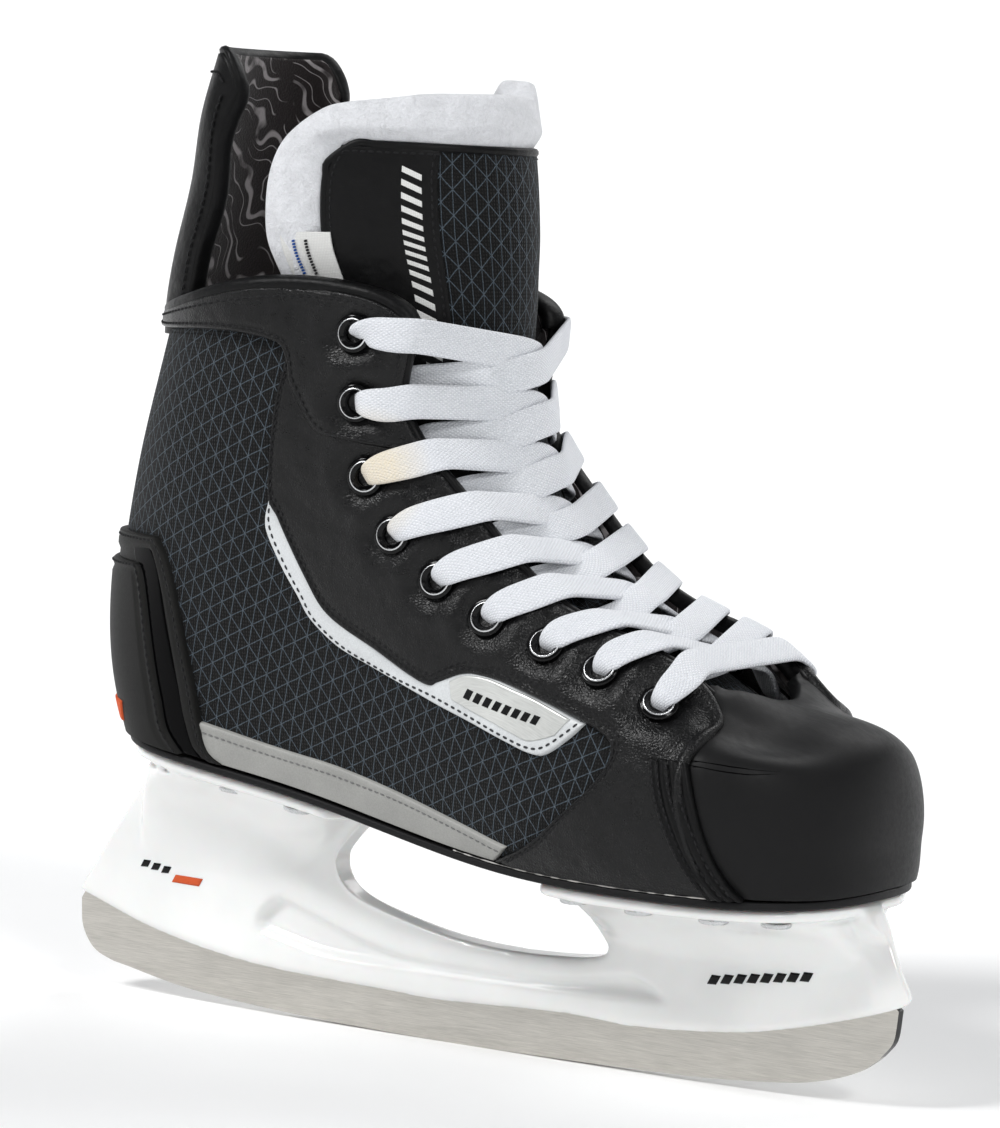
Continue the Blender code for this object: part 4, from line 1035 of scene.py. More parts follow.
def drawn_tight(knots):
    """The knots that a tight strand rests on, out of those that it passes over."""
    places = np.array([knot[0] for knot in knots])
    along = unit(places[-1] - places[0])
    up = np.array((0.6, 0, 0.8)) - along * (along @ np.array((0.6, 0, 0.8)))
    run, rise = (places - places[0]) @ along, (places - places[0]) @ unit(up)
    kept = [0]
    for k in range(1, len(knots)):
        while len(kept) > 1:
            a, b = kept[-2:]
            turn = (run[b] - run[a]) * (rise[k] - rise[a]) - (rise[b] - rise[a]) * (run[k] - run[a])
            if turn < 0:
                break
            kept.pop()
        kept.append(k)
    return [knots[k] for k in kept]


def strand(number, side):
    """One crossing: out of an eyelet, over the tongue and under the far throat edge."""
    start, end = tongue_station(number), tongue_station(number + 1)
    points = out_of_eyelet(number, side)
    lying = [points.pop()]
    for share in np.linspace(0.12, 0.88, 15):
        across = 1.5 * share - 0.75
        lift = 2.2 + (STRAND_LIFT[side] - 2.2) * math.exp(-((share - 0.45) / 0.2) ** 2)
        station = start + (end - start) * share ** STRAND_BOW[side]
        lying.append(tongue_knot(station, -side * across, lift))
    far_edge = LACE_AT_THROAT[number] + 0.22
    lying.append(boot_knot(far_edge, RAIL_TOP, -side, -6.6, 4.8, 0.9))
    station, height = EYELETS[number]
    return points + drawn_tight(lying) + [boot_knot(station, height, -side, -9.4, 3.4, 1.2)]


def lace_tail(side):
    """The spare end, tucked inside the boot and folded along the footbed."""
    bed = [(x, 6) for x in (-44, -20, 6, 32, 56)] + [(68, 8), (70, 14), (63, 19)]
    bed += [(x, 20) for x in (40, 14, -12, -36, -54)]
    points = [(np.array((x, side * y + toe_bend(x), sole_z(x) + FOOTBED_TOP + 2.4)), None, 5, 1)
              for x, y in bed]
    for station, height in ((7.8, 0.95), (7.7, 1.5), (7.5, 2.2), (7.35, 2.9), (7.25, 3.4)):
        points.append(boot_knot(station, height, side, -9.0, 4.6, 1.0))
    return points


def softened(values, reach=2):
    """A running mean along the lace, with its ends held."""
    padded = np.pad(values, ((reach, reach), (0, 0)), "edge")
    return sum(padded[k:k + len(values)] for k in range(2 * reach + 1)) / (2 * reach + 1)


def make_lace():
    first, second, side = [], [], -1
    for number in range(1, len(EYELETS)):
        first += strand(number, side)
        second += strand(number, -side)
        side = -side
    last = len(EYELETS)
    bar = out_of_eyelet(last, -1)
    over = tongue_station(last)
    opposite = out_of_eyelet(last, 1)[::-1]
    lying = [bar.pop()] + [tongue_knot(over, across, 2.6) for across in np.linspace(-0.6, 0.6, 9)]
    bar += drawn_tight(lying + opposite[:1]) + opposite[1:]
    knots = lace_tail(-1) + first + bar + second[::-1] + lace_tail(1)[::-1]
    places = np.array([knot[0] for knot in knots])
    across = []
    for knot, along in zip(knots, np.gradient(places, axis=0)):
        flat = knot[1] if knot[1] is not None else np.cross((0, 0, 1), along)
        if across and np.dot(flat, across[-1]) < 0:
            flat = -flat
        across.append(unit(flat))
    shape = np.array([knot[2:] for knot in knots], float)
    line, sideways, size = resample(places, 1.1, np.array(across), shape)
    for _ in range(3):
        line, sideways, size = (softened(values) for values in (line, sideways, size))
    mesh = sweep_mesh(line, sideways, size[:, 0], size[:, 1], 16, 0.55)
    add_piece("lace_braid", mesh, LACE, replaces=("lace",))
    print("lace length in mm:", round(float(lengths_along(line)[-1])))


# ---------------------------------------------------------------- upper

def groove(distance, at, width):
    """A soft line, 1 deep, at a distance from an edge."""
    return np.exp(-((distance - at) / width) ** 2)


def undulation(points, size, amount):
    """Soft unevenness of stretched leather, the same in every run."""
    x, y, z = (points[..., k] / size for k in range(3))
    return amount * (np.sin(x * 1.3 + 2.1 * np.sin(z * 0.9)) * np.cos(z * 1.1 + y)
                     + 0.5 * np.sin(2.3 * x + 1.7 * z + 0.6 * y))


def eyelet_dimples(points, side):
    """The leather is pulled down round each eyelet and swells between them."""
    relief = np.zeros(points.shape[:2])
    for number in range(1, len(EYELETS) + 1):
        away = np.linalg.norm(points - eyelet_place(number, side), axis=-1)
        relief += 0.9 * groove(away, 10.5, 4) - 1.5 * groove(away, 0, 7.2)
    return relief


def side_view_flat(sheet):
    """The boot's side unrolled round the heel: x runs to the toe and y up, as in side view."""
    level = np.linalg.norm(np.diff(sheet.base[..., :2], axis=1), axis=-1)
    run = np.concatenate([np.zeros((len(level), 1)), np.cumsum(level, axis=1)], axis=1)
    waist = np.abs(sheet.station - 6).argmin(axis=1)[:, None]
    start = np.take_along_axis(sheet.base[..., 0], waist, 1)
    x = start - (run - np.take_along_axis(run, waist, 1))
    return np.stack([x, sheet.base[..., 2]], -1)


def make_quarters():
    for label, side in SIDES:
        height = np.linspace(0.02, RAIL_TOP, 120)
        edge = np.interp(height, *np.array(CAP_EDGE)[:, ::-1].T)[:, None]
        station = edge - 0.15 + (HEEL - edge + 0.15) * np.linspace(0, 1, 300)[None]
        height = np.broadcast_to(height[:, None], station.shape)
        cloth = Sheet(station, height, LAYERS["quarter_cloth"],
                      lambda sheet: undulation(sheet.base, 24, 0.12), side)
        cloth.flat = side_view_flat(cloth)
        add_piece(f"quarter_cloth_{label}", cloth, MESH_SIDE, replaces=(f"quarter_{label}",))


def make_vamps():
    def relief(sheet):
        front = 1 - ease(sheet.station, 2.6, 3.2)
        fold = groove(sheet.across, 2.4, 1.9) * (1 + 1.6 * front)
        return (eyelet_dimples(sheet.base, sheet.side) + undulation(sheet.base, 13, 0.22)
                + undulation(sheet.base, 5.5, 0.07) + 0.55 * fold
                - 0.35 * groove(sheet.back_across, 2.6, 1.0))
    for sheet in panel_pair("vamp_leather", (VAMP_FRONT, VAMP_BACK), BLACK_LEATHER,
                            relief, "vamp"):
        for inset in (1.7, 3.4):
            black_stitches.row(*sheet.edge_line("second", inset), pitch=2.3, length=1.8)


def make_collar_patches():
    def relief(sheet):
        return (eyelet_dimples(sheet.base, sheet.side) + undulation(sheet.base, 15, 0.25)
                - 0.3 * groove(sheet.back_across, 2.2, 0.9))
    for sheet in panel_pair("collar_patch", (PATCH_TOP, PATCH_BASE), BLACK_LEATHER,
                            relief):
        black_stitches.row(*sheet.edge_line("second", 1.8), pitch=2.4, length=1.9)
        black_stitches.row(*sheet.edge_line("first", 3.2), pitch=2.6, length=2.0)


def make_edges():
    """The padded roll round the collar, and the bound edges of the eyelet rows."""
    station = np.linspace(6.75, TURN - 6.75, 260)
    level = np.full(260, RAIL_TOP)
    line = boot(station, level, -2.2) + (0, 0, 0.6)
    mesh = sweep_mesh(line, boot_normal(station, level), 4.2, 2.6, 16, 0.85)
    add_piece("collar_rim", mesh, SMOOTH_LEATHER)
    level = np.full(200, RAIL_TOP)
    for label, side in SIDES:
        where = around(np.linspace(2.25, 6.8, 200), side)
        mesh = sweep_mesh(boot(where, level, -1.6), boot_normal(where, level), 2.6, 1.5, 12, 0.8)
        add_piece(f"throat_edge_{label}", mesh, SMOOTH_LEATHER)


def make_stripes():
    for sheet in panel_pair("stripe", (STRIPE_TOP, STRIPE_BASE), SILVER_TRIM, None,
                            "side_stripe"):
        dark_stitches.row(*sheet.edge_line("second", 2.0), pitch=2.5, length=1.7, radius=0.3)
    panel_pair("stripe_plate", (PLATE_TOP, PLATE_BASE), PLATE_METAL)
    for label, side in SIDES:
        for number in range(PLATE_DASHES):
            station, height = 4.33 - 0.083 * number, 2.09 + 0.006 * number
            dash = panel(((station, height + 0.06), (station - 0.055, height + 0.06)),
                         ((station + 0.03, height - 0.06), (station - 0.025, height - 0.06)),
                         LAYERS["plate_dash"], None, side)
            add_piece(f"plate_dash_{label}_{number + 1}", dash, BLACK_ENAMEL)


def make_foxing():
    def relief(sheet):
        return -0.3 * groove(sheet.across, 3.0, 0.5)
    for sheet in panel_pair("foxing", (FOXING_TOP, FOXING_BASE), GREY_TRIM, relief,
                            "foxing_strip"):
        grey_stitches.row(*sheet.edge_line("first", 3.0), pitch=2.3, length=1.9, radius=0.24)


def make_toe():
    def cap_relief(sheet):
        lap = -1.1 * (1 - ease(np.minimum(sheet.along, sheet.back_along), 1.5, 8))
        lip = 1.3 * (1 - ease(sheet.height, 0.05, 0.8)) * (1 - ease(abs(sheet.station), 1.0, 1.8))
        raised = 0.6 + 2.2 * groove(sheet.station, 1.3, 0.8)
        raised = raised * ease(sheet.height, 3.6, CAP_TOP)
        return lap + lip + raised + undulation(sheet.base, 30, 0.1)
    cap = wrapped(CAP_EDGE, TOE, (0.02, CAP_TOP), LAYERS["toe_cap_shell"], cap_relief)
    add_piece("toe_cap_shell", cap, CAP_PLASTIC, replaces=("toe_cap",))
    for label, side in SIDES:
        # The creases are thin raised beads of darker glossy black along their lines: painted shade
        # of the grooves in the cap
        for number, crease in enumerate(CREASES, 1):
            station, height = curve(crease, 60).T
            where = around(station, side)
            thin = 0.04 + 0.17 * np.sin(math.pi * np.linspace(0.12, 1, 60))
            mesh = sweep_mesh(boot(where, height, 0.8), boot_normal(where, height), thin, thin, 6)
            add_piece(f"cap_crease_shade_{label}_{number}", mesh, GLOSS_TRIM)

    def ridges(sheet):
        share = sheet.across / np.maximum(sheet.across[-1:], 1e-6)
        return 1.0 * np.abs(np.sin(math.pi * 4 * share)) ** 0.8 - 0.5
    for strip in panel_pair("toe_seam", (STRIP_LEFT, STRIP_RIGHT), SMOOTH_LEATHER,
                            ridges):
        width = float(strip.across[-1].mean())
        for share in (0.02, 0.25, 0.5, 0.75):
            black_stitches.row(*strip.edge_line("first", max(width * share, 1.3)), pitch=2.4,
                               length=1.8, radius=0.34)


def make_heel():
    def guard_relief(sheet):
        edge = sheet.free_edge()
        return 0.9 * (1 - ease(edge, 4.6, 6.0)) - 0.3 * groove(edge, 1.8, 0.6)

    def strap_relief(sheet):
        return -0.55 * groove(sheet.free_edge(), 3.4, 0.8) + undulation(sheet.base, 20, 0.12)
    guard = wrapped(GUARD_EDGE, HEEL, (0.02, 2.06), LAYERS["heel_counter"], guard_relief)
    add_piece("heel_counter", guard, DULL_TRIM, replaces=("heel_guard",))
    strap = wrapped(HEEL_STRAP_EDGE, HEEL, (0.02, 1.85), LAYERS["heel_backstay"], strap_relief)
    add_piece("heel_backstay", strap, DULL_TRIM, replaces=("heel_strap",))
    for sheet, inset in ((guard, 1.9), (strap, 1.7)):
        for edge in ("start", "end", "second"):
            black_stitches.row(*sheet.edge_line(edge, inset), pitch=2.5, length=1.9)
    panel_pair("heel_gloss", (GLOSS_FRONT, GLOSS_BACK), GLOSS_TRIM)
    tag = wrapped(TAG_EDGE, HEEL, (0.2, 0.52), LAYERS["heel_tag_cloth"])
    add_piece("heel_tag_cloth", tag, ORANGE_TAG, replaces=("heel_tag",))


def make_lining():
    """Padded lining of the boot's inside, open at the collar and the throat."""
    station, height = np.meshgrid(np.linspace(0, TURN, 240), np.linspace(0.0, RAIL_TOP, 70))
    swell = 0.5 * np.sin(math.pi * height / RAIL_TOP)
    mesh = shell_mesh(boot(station, height, LINING_OUT), boot(station, height, LINING_IN - swell),
                      np.stack([station * 30, height * 30], -1))
    with edited(mesh) as work:
        bmesh.ops.remove_doubles(work, verts=work.verts, dist=1e-7)
    item = add_piece("lining_padding", mesh, LINING, replaces=("lining",))


def make_eyelets():
    profile = ((2.5, -6.6), (3.9, -6.6), (3.9, -6.1), (2.95, -6.0), (2.95, 1.0), (5.5, 1.0),
               (5.6, 1.3), (5.4, 1.75), (4.9, 2.0), (4.55, 1.95), (4.45, 2.15), (4.1, 2.35),
               (3.75, 2.2), (3.6, 1.9), (3.1, 1.6), (2.6, 0.8), (2.5, 0.0))
    # Black enamel eyelet with a thin silver metal band on its rolled top, between radii 4.2 and
    # 4.48: the band is a painted highlight standing for the bright arc on the black enamel
    ring_mesh = turned_mesh(profile, 36, (4.2, 4.48))
    for number, (station, height) in enumerate(EYELETS, 1):
        lift = 0.9 if number < 3 else 0.0
        for label, side in SIDES:
            where = around(station, side)
            mesh = placed(ring_mesh, boot(where, height, lift), boot_normal(where, height))
            add_piece(f"eyelet_ring_{label}_{number}", mesh, (BLACK_ENAMEL, RIVET_METAL),
                      replaces=(f"eyelet_{label}_{number}",))


# ---------------------------------------------------------------- tongue and tendon guard

FACING_REACH, FACING_TOP = 0.8, 6.0
TAB_STATION, TAB_ACROSS = (4.1, 0.76), (-0.93, 0.15)
TENDON_SHELL, TENDON_PADDING, TENDON_EDGE = (0, 2.0), (2.05, 5.4), 2.4
MARKS, MARK_START, MARK_STEP, MARK_LENGTH = 17, 5.66, 0.16, 0.075


def tongue_shell(name, station_range, reach, relief=None, corner=0.0, lean=0.0, lobe=0.0):
    """A layer of the tongue as a closed body, with its top grid, normals and edge distances."""
    low, high, radii, spacing = LAYERS[name]
    start, end = station_range
    t = edge_shares(30 * (end - start), spacing)
    s = edge_shares(75 * (reach[1] - reach[0]) / 2, spacing)
    station, across = np.meshgrid(start + (end - start) * t, reach[0] + (reach[1] - reach[0]) * s,
                                  indexing="ij")
    top_share = ease(station, end - 0.55, end)
    station = station - corner * 2.2 * top_share * np.abs(across) ** 5
    station = station + lean * (across - reach[0])
    across = across * (1 - corner * top_share ** 2)
    point, normal, up = tongue_frame(station, across)
    distances = edge_distances(point)
    rise = risen(distances, radii)
    middle = (low + high) / 2
    swell = relief(station, across, distances, point) if relief else 0
    top_out = middle + (high - middle) * rise + swell * ease(rise, 0, SWELL_FROM)
    low_out = middle + (low - middle) * rise
    point = point + (lobe * ease(across, 0.25, 0.6) * ease(station, 5.8, 6.9))[..., None] * up
    top = point + top_out[..., None] * normal
    bottom = point + low_out[..., None] * normal - 0.02 * normal
    down, _, along, _ = distances
    cloth_row, cloth_column = along[int(0.8 * len(along))], down[:, down.shape[1] // 2]
    uv = np.stack([np.broadcast_to(cloth_row - cloth_row.mean(), along.shape),
                   np.broadcast_to(cloth_column[:, None], along.shape)], -1)
    return shell_mesh(top, bottom, uv), top, normal, distances


def make_tongue():
    def felt_relief(station, across, distances, point):
        rim = (ease(np.abs(across), 0.8, 0.9) * ease(station, 3.2, 4.2)
               + ease(station, FACING_TOP - 0.05, FACING_TOP + 0.3))
        curl = 1.5 * ease(station, 6.2, 6.9) * groove(across, 0.6, 0.3)
        return 4.6 * np.clip(rim, 0, 1) + curl + undulation(point, 11, 0.25)

    def strip_relief(station, across, distances, point):
        return -0.3 * groove(np.minimum(*distances[2:]), 2.0, 0.6)

    moving = []

    def add(name, mesh, finish, replaces=()):
        moving.append(add_piece(name, mesh, finish, None, replaces))
    low, high = 0.05, FACING_TOP
    felt = tongue_shell("tongue_felt", (0, 7), (-1, 1), felt_relief, corner=0.1, lobe=6.5)
    add("tongue_felt", felt[0], FELT, ("tongue_felt_lower", "tongue_felt_upper"))
    threads = Stitching()
    for label, side in SIDES:
        reach = sorted((side * (0.42 if side < 0 else 0.35), side * FACING_REACH))
        mesh, *grids = tongue_shell("tongue_strip", (low, high), reach, strip_relief,
                                    corner=0.03)
        add(f"tongue_strip_{label}", mesh, SMOOTH_LEATHER)
        for edge in ("start", "end", "second"):
            threads.row(*line_in(*grids, edge, 2.0), pitch=2.4, length=1.8, radius=0.27)
    centre = tongue_shell("tongue_centre", (low, high - 0.03), (-0.44, 0.44))
    add("tongue_centre", centre[0], MESH_TONGUE, ("tongue_facing_lower", "tongue_facing_upper"))
    stations = np.linspace(0.05, high, 160)
    left, right = (tongue(stations, np.full(160, side * FACING_REACH), -0.6) for _, side in SIDES)
    over = tongue(np.full(90, high), np.linspace(-FACING_REACH, FACING_REACH, 90), -0.6)
    line = np.vstack([left[:-4], over[4:-4], right[-5::-1]])
    line = smooth_curve(line[::4], 1.2)
    inwards = np.array((-20.0, 0, 250.0)) - line
    add("tongue_binding", sweep_mesh(line, unit(inwards), 1.3, 1.3, 10, 0.9), SMOOTH_LEATHER)
    add("tongue_stitching", threads, BLACK_THREAD)
    for number in range(MARKS):
        place = MARK_START - MARK_STEP * number
        mark = tongue_shell("tongue_mark", (place, place + MARK_LENGTH), (-0.55, -0.48),
                            lean=-1.5)
        add(f"tongue_mark_{number + 1}", mark[0], LABEL)
    for item in moving:
        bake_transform(item)
    make_label()


def make_label():
    """The woven label on the tongue's outer edge, with its two plain bars."""
    s, t = edge_shares(9, 0.9), edge_shares(18, 0.9)
    (station, tall), (across, wide) = TAB_STATION, TAB_ACROSS
    up, over = np.meshgrid(tall * t, wide * s, indexing="ij")
    point, normal, _ = tongue_frame(station + up, across + over)
    lift = 2.9 - 2.0 * (over / wide) + 0.5 * np.sin(up * 4)
    top = point + lift[..., None] * normal
    add_piece("tongue_tab", shell_mesh(top, top - 0.7 * normal), LABEL, "tongue_top",
              ("tongue_label",))
    for number, (share, finish) in enumerate(((0.3, BLUE_THREAD), (0.5, BLACK_THREAD)), 1):
        threads = Stitching()
        row = int(share * top.shape[1])
        line = top[5:-5, row] + 0.1 * normal[5:-5, row]
        threads.row(line, normal[5:-5, row], pitch=0.9, length=0.7, radius=0.5)
        add_piece(f"label_weave_{number}", threads, finish, "tongue_top")


def tendon_point(across, z_share, inset):
    """Point of the tendon guard: across from -1 to 1 round the leg, share from base to top."""
    z, rear, side, half = catmull(TENDON, z_share * (len(TENDON) - 1)).T
    drop = 11 * np.maximum(0, (np.abs(across) - 0.7) / 0.3) ** 2 * z_share ** 2
    turn = math.pi / 2 * across
    x = side + (rear + inset - side) * np.cos(turn)
    return np.column_stack([x, (half - inset) * np.sin(turn), z - drop])


def make_tendon_guard():
    share, across = np.meshgrid(np.linspace(0, 1, 70), np.linspace(-1, 1, 90), indexing="ij")

    def layer(inset):
        return tendon_point(across.ravel(), share.ravel(), inset).reshape(70, 90, 3)
    swell = 0.5 * np.sin(math.pi * share)[..., None] * np.array((-1.0, 0, 0))
    uv = np.stack([across * 45, share * 80], -1)
    rising, level = np.linspace(0, 1, 60), np.full(60, 1.0)
    edge = np.vstack([tendon_point(-level, rising, TENDON_EDGE),
                      tendon_point(np.linspace(-0.98, 0.98, 80), np.ones(80), TENDON_EDGE),
                      tendon_point(level, rising[::-1], TENDON_EDGE)])
    line = smooth_curve(edge[::3], 1.2)
    outwards = unit(line - np.array((-60.0, 0, 250.0)))
    threads = Stitching()
    inner_row = tendon_point(np.full(60, -0.9), np.linspace(0.05, 0.93, 60), -0.5)
    top_row = tendon_point(np.linspace(-0.88, 0.88, 80), np.full(80, 0.94), -0.5)
    for row, height in ((inner_row, 250), (inner_row * (1, -1, 1), 250), (top_row, 280)):
        threads.row(row, unit(row - (-60, 0, height)))
    (shell_out, shell_in), (pad_out, pad_in) = TENDON_SHELL, TENDON_PADDING
    made = [add_piece(f"tendon_{name}", shape, finish, None, replaces)
            for name, shape, finish, replaces, slot in (
                ("shell", shell_mesh(layer(shell_out) + swell, layer(shell_in), uv),
                 SMOOTH_LEATHER, ("tendon_guard",), "leather"),
                ("padding", shell_mesh(layer(pad_out), layer(pad_in) - swell, uv), LINING,
                 ("tendon_guard_lining",), "lining"),
                ("binding", sweep_mesh(line, outwards, 2.6, 1.5, 12, 0.8), SMOOTH_LEATHER, (),
                 "leather"),
                ("stitching", threads, BLACK_THREAD, (), "leather"))]
    for item in made:
        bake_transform(item)


# ---------------------------------------------------------------- sole, holder and runner

def make_outsole():
    share = np.linspace(0, 1, 260)
    station, level = HEEL * (0.5 - 0.5 * np.cos(math.pi * share)), np.zeros(260)
    across = edge_shares(80, 3)
    lines = []
    for _, side in SIDES:
        where = around(station, side)
        outwards = boot_normal(where, level) * (1, 1, 0)
        lines.append(boot(where, level) + 0.7 * unit(outwards))
    outer, inner = lines
    grid = outer[None] + (inner - outer)[None] * across[:, None, None]
    width = np.linalg.norm(inner - outer, axis=1)
    edge = np.minimum(across, 1 - across)[:, None] * width[None]
    ends = np.minimum(lengths_along(outer), lengths_along(outer[::-1])[::-1])[None]
    rise = rounding(np.minimum(edge + 0.2, ends + 0.2), 0.9)
    low, high = OUTSOLE
    middle, half = (low + high) / 2, (high - low) / 2
    top, bottom = grid.copy(), grid.copy()
    top[..., 2] += middle + half * rise
    bottom[..., 2] += middle - half * rise - 0.02
    add_piece("outsole_plate", shell_mesh(top, bottom), SOLE_PLASTIC, replaces=("outsole",))
    place, level = np.linspace(2.1, 4.5, 500), np.full(500, 0.02)
    beads = 0.5 + 0.5 * np.sin(place * 31 + 2 * np.sin(place * 7))
    radius = 0.05 + 0.15 * ease(beads, 0.25, 0.9)
    for label, side in SIDES:
        where = around(place, side)
        line = boot(where, level, 0.75) - (0, 0, 0.35)
        add_piece(f"glue_line_{label}", sweep_mesh(line, boot_normal(where, level), radius, radius,
                                                   6), GLUE)


def flat_plate(outline, half):
    """A plate standing in the X-Z plane, cut to a side-view outline, in bmesh."""
    mesh = bpy.data.meshes.new("plate")
    with edited(mesh) as work:
        sides = [[work.verts.new((x * MM, y * MM, z * MM)) for x, z in outline]
                 for y in (-half, half)]
        work.faces.new(sides[0])
        work.faces.new(sides[1][::-1])
        for k in range(len(outline)):
            n = (k + 1) % len(outline)
            work.faces.new((sides[0][n], sides[0][k], sides[1][k], sides[1][n]))
        bmesh.ops.triangulate(work, faces=[f for f in work.faces if len(f.verts) > 4])
        bmesh.ops.recalc_face_normals(work, faces=work.faces)
    return mesh


def pillar_mesh(stations):
    """A post lofted up through rounded rectangles to its flange."""
    run, side = squared_circle(64, PILLAR_POWER)
    share = (run + 1) / 2
    table = curve(stations, 26)
    back, front, z_back, z_front, half = (table[:, k:k + 1] for k in range(5))
    x = back + (front - back) * share
    lean = np.where(x > 0, half / TOE_PILLAR[-1][-1], 0)
    room = np.maximum(sole_half(x) - 2.5, 4.5)
    y = toe_bend(x) * lean + side * np.minimum(half, room)
    points = np.stack([x, y, z_back + (z_front - z_back) * share], -1)
    faces = [face[::-1] for face in tube_faces(*x.shape)]
    return mesh_from(points.reshape(-1, 3), faces)


def flange_mesh(span):
    back, front = span
    x = (back + front) / 2 - (front - back) / 2 * np.cos(math.pi * np.linspace(0, 1, 90))
    ends = np.minimum(x - back, front - x) / 6
    half = np.maximum(sole_half(x) - FLANGE_INSET, 2.5) * (0.8 + 0.2 * rounding(ends, 1))
    across = np.linspace(-1, 1, 25)
    grid = np.stack([np.broadcast_to(x, (25, 90)), toe_bend(x) + across[:, None] * half,
                     np.broadcast_to(sole_z(x) + FLANGE_TOP, (25, 90))], -1)
    return shell_mesh(grid, grid - (0, 0, FLANGE_THICKNESS))


def holder_relief(x, z):
    """How far the holder's side is set in: the scoop along the bridge and the slope above it."""
    crest, scoop_top, scoop_base = (curve(line, 200).T for line in (CREST, SCOOP_TOP, SCOOP_BASE))
    high = np.interp(x, *scoop_top, left=-1, right=-1)
    low = np.interp(x, *scoop_base, left=99, right=99)
    inside = np.minimum(high - z, z - low)
    ends = np.minimum(x - SCOOP_TOP[0][0], SCOOP_TOP[-1][0] - x)
    scoop = ease(np.minimum(inside, ends * 0.8), -0.4, 3.2)
    fade = 1 - 0.15 * ease(x, 10, 60)
    slope = ease(z - np.interp(x, *crest), 0, 9) * ease(x, -72, -60) * (1 - ease(x, 46, 56))
    lip = 1 - ease(z - np.interp(x, *np.array(HOLDER_BASE).T), 0, 1.2)
    return 3.2 * scoop * fade + 2.0 * slope + 0.8 * lip


def front_taper(x, z):
    """How much of its width the holder keeps towards its front edge."""
    front = np.interp(z, *np.array(HOLDER_FRONT)[:, ::-1].T)
    thin = 0.3 + 0.7 * ease(front - x, 0, 9)
    return thin + (1 - thin) * ease(z, 46, 53)


def make_holder():
    outline = [*smooth_curve(HOLDER_BASE + HOLDER_FRONT[:1], 2.0).tolist(), *HOLDER_FRONT[1:],
               *HOLDER_TOE_TOP, *smooth_curve(WINDOW, 1.2).tolist(), *HOLDER_HEEL_TOP,
               *HOLDER_BACK]
    mesh = bpy.data.meshes.new("moulding")
    with edited(mesh) as work:
        for part in (flat_plate(outline, HOLDER_HALF), pillar_mesh(HEEL_PILLAR),
                     pillar_mesh(TOE_PILLAR), flange_mesh(HEEL_FLANGE), flange_mesh(TOE_FLANGE)):
            work.from_mesh(part)
    item = add_piece("holder_moulding", mesh, WHITE_PLASTIC, None)
    remesh = item.modifiers.new("skin", "REMESH")
    remesh.mode = "VOXEL"
    remesh.voxel_size = VOXEL
    soften = item.modifiers.new("soften", "SMOOTH")
    soften.factor, soften.iterations = 0.5, 14
    bpy.context.view_layer.update()
    seen = item.evaluated_get(bpy.context.evaluated_depsgraph_get())
    skin = bpy.data.meshes.new_from_object(seen)
    item.modifiers.clear()
    item.data = skin
    points, normals = np.zeros((2, len(skin.vertices) * 3))
    skin.vertices.foreach_get("co", points)
    skin.vertices.foreach_get("normal", normals)
    points, normals = points.reshape(-1, 3) / MM, normals.reshape(-1, 3)
    x, y, z = points.T
    facing = ease(np.abs(normals[:, 1]), 0.35, 0.8)
    depth = holder_relief(x, z) * ease(-np.abs(y), -13, -8)
    set_in = y - np.sign(y) * np.minimum(depth * facing, np.abs(y) - 1.8)
    middle = toe_bend(x) * ease(z, 38, 57)
    points[:, 1] = middle + (set_in - middle) * front_taper(x, z)
    skin.vertices.foreach_set("co", (points * MM).ravel())
    with edited(skin) as work:
        for _ in range(5):
            bmesh.ops.smooth_vert(work, verts=work.verts, factor=0.5, use_axis_x=True,
                                  use_axis_y=True, use_axis_z=True)
        surface = BVHTree.FromBMesh(work)
    skin.update()
    skin.shade_smooth()
    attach(item, "boot")
    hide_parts("blade_holder")
    make_holder_prints(surface)


def printed(surface, edges, side):
    """A thin print laid on the holder's side, between two (x, z) edges with their end points."""
    low, high = (np.linspace(*np.array(edge, float), 8) for edge in edges)
    spots = low[None] + (high - low)[None] * np.linspace(0, 1, 4)[:, None, None]
    outwards = np.array((0.0, side, 0))
    top = np.array([[surface.ray_cast(Vector((x, side * 60, z)) * MM, Vector(-outwards))[0]
                     for x, z in row] for row in spots]) / MM
    return shell_mesh(top + 0.16 * outwards, top - 0.2 * outwards)


def make_holder_prints(surface):
    """Plain slanted dashes and one orange patch, in place of any lettering."""
    dashes = []
    for (x, z), (over, rise), (step, climb), width, count in HOLDER_DASHES:
        for k in range(count):
            a, b = x + step * k, z + climb * k
            dashes.append((((a, b), (a + width, b + 0.1)),
                           ((a + over, b + rise), (a + over + width, b + rise))))
    for label, side in SIDES:
        for number, edges in enumerate(dashes, 1):
            add_piece(f"holder_dash_{label}_{number}", printed(surface, edges, side),
                      BLACK_ENAMEL)
        add_piece(f"holder_patch_{label}", printed(surface, HOLDER_PATCH, side), ORANGE_TAG)


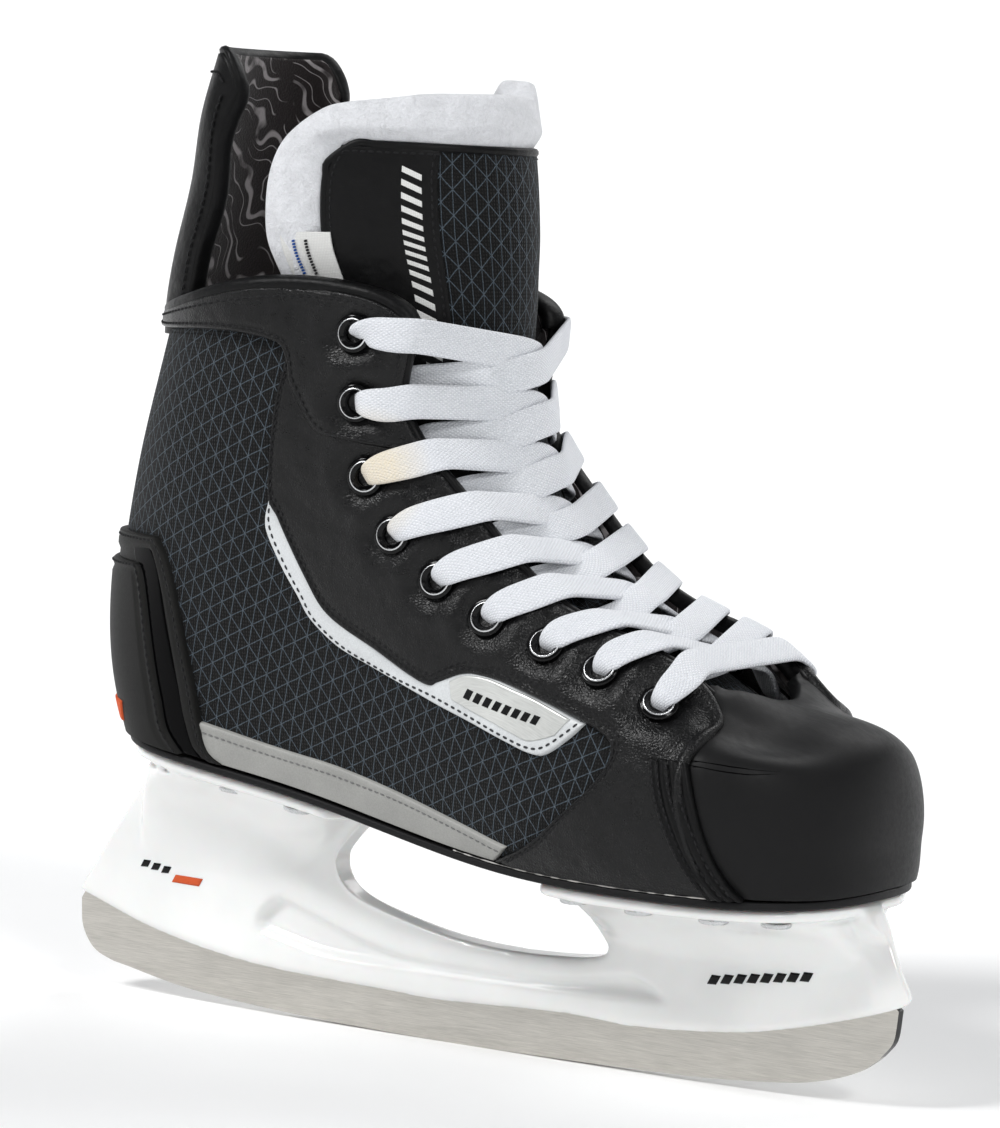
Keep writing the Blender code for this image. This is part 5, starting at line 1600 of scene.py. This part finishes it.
def make_runner():
    outline = smooth_curve(RUNNER_BOTTOM, 1.5).tolist() + list(RUNNER_TOP)
    mesh = flat_plate(outline, RUNNER_HALF)
    item = add_piece("runner_steel", mesh, STEEL, "boot", ("runner",))
    edge = item.modifiers.new("edge", "BEVEL")
    edge.width = RUNNER_EDGE * MM
    edge.segments = 3
    edge.limit_method = "ANGLE"
    mesh.set_sharp_from_angle(angle=math.radians(30))
    # Narrow faces at the front end get black enamel: painted shade on the steel's front face
    mesh.materials.append(BLACK_ENAMEL)
    for face in mesh.polygons:
        if abs(face.normal.y) < 0.5 and face.center.x > RUNNER_SHADE_FROM * MM:
            face.material_index = 1


def make_rivets():
    profile = ((0.01, -6.8), (3.9, -6.8), (3.9, -7.4), (4.4, -7.45), (4.3, -8.5), (3.9, -8.9),
               (0.01, -9.0))
    # Only the head's outer side and lower bevel, between radii 4.0 and 4.6 and facing down, are
    # silver metal; the black enamel on the shank band and on the head's face is painted shade of
    # the gap under the flange and of the head
    head = turned_mesh(profile, 28, (4.0, 4.6), -0.05)
    for label, row, inset in (("heel", HEEL_RIVETS, 9), ("toe", TOE_RIVETS, 11)):
        for number, x in enumerate(row, 1):
            slope = math.atan2(sole_z(x + 4) - sole_z(x - 4), 8)
            normal = (-math.sin(slope), 0, math.cos(slope))
            for side_label, side in SIDES:
                place = (x, toe_bend(x) + side * (sole_half(x) - inset), sole_z(x))
                name = f"{label}_{side_label}_{number}"
                add_piece(f"rivet_head_{name}", placed(head, place, normal),
                          (BLACK_ENAMEL, RIVET_METAL), replaces=(f"rivet_{name}",))


def finish_hidden_parts():
    """CAD parts that stay: the footbed, the board under it and the two blade bolts."""
    for name, finish in (("footbed", FOAM), ("insole_board", BOARD),
                         ("blade_bolt_rear", RIVET_METAL), ("blade_bolt_front", RIVET_METAL)):
        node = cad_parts[name]
        node.data.materials.clear()
        node.data.materials.append(finish)


for make in (make_camera, make_lace, make_stage, make_quarters, make_vamps, make_collar_patches,
             make_edges, make_stripes, make_foxing, make_toe, make_heel, make_lining,
             make_eyelets, make_tongue, make_tendon_guard, make_outsole, make_holder,
             make_runner, make_rivets, finish_hidden_parts):
    make()
for thread, threads, finish in (("black", black_stitches, BLACK_THREAD),
                                ("grey", grey_stitches, GREY_THREAD),
                                ("dark", dark_stitches, DARK_THREAD)):
    add_piece(f"stitching_{thread}", threads, finish)
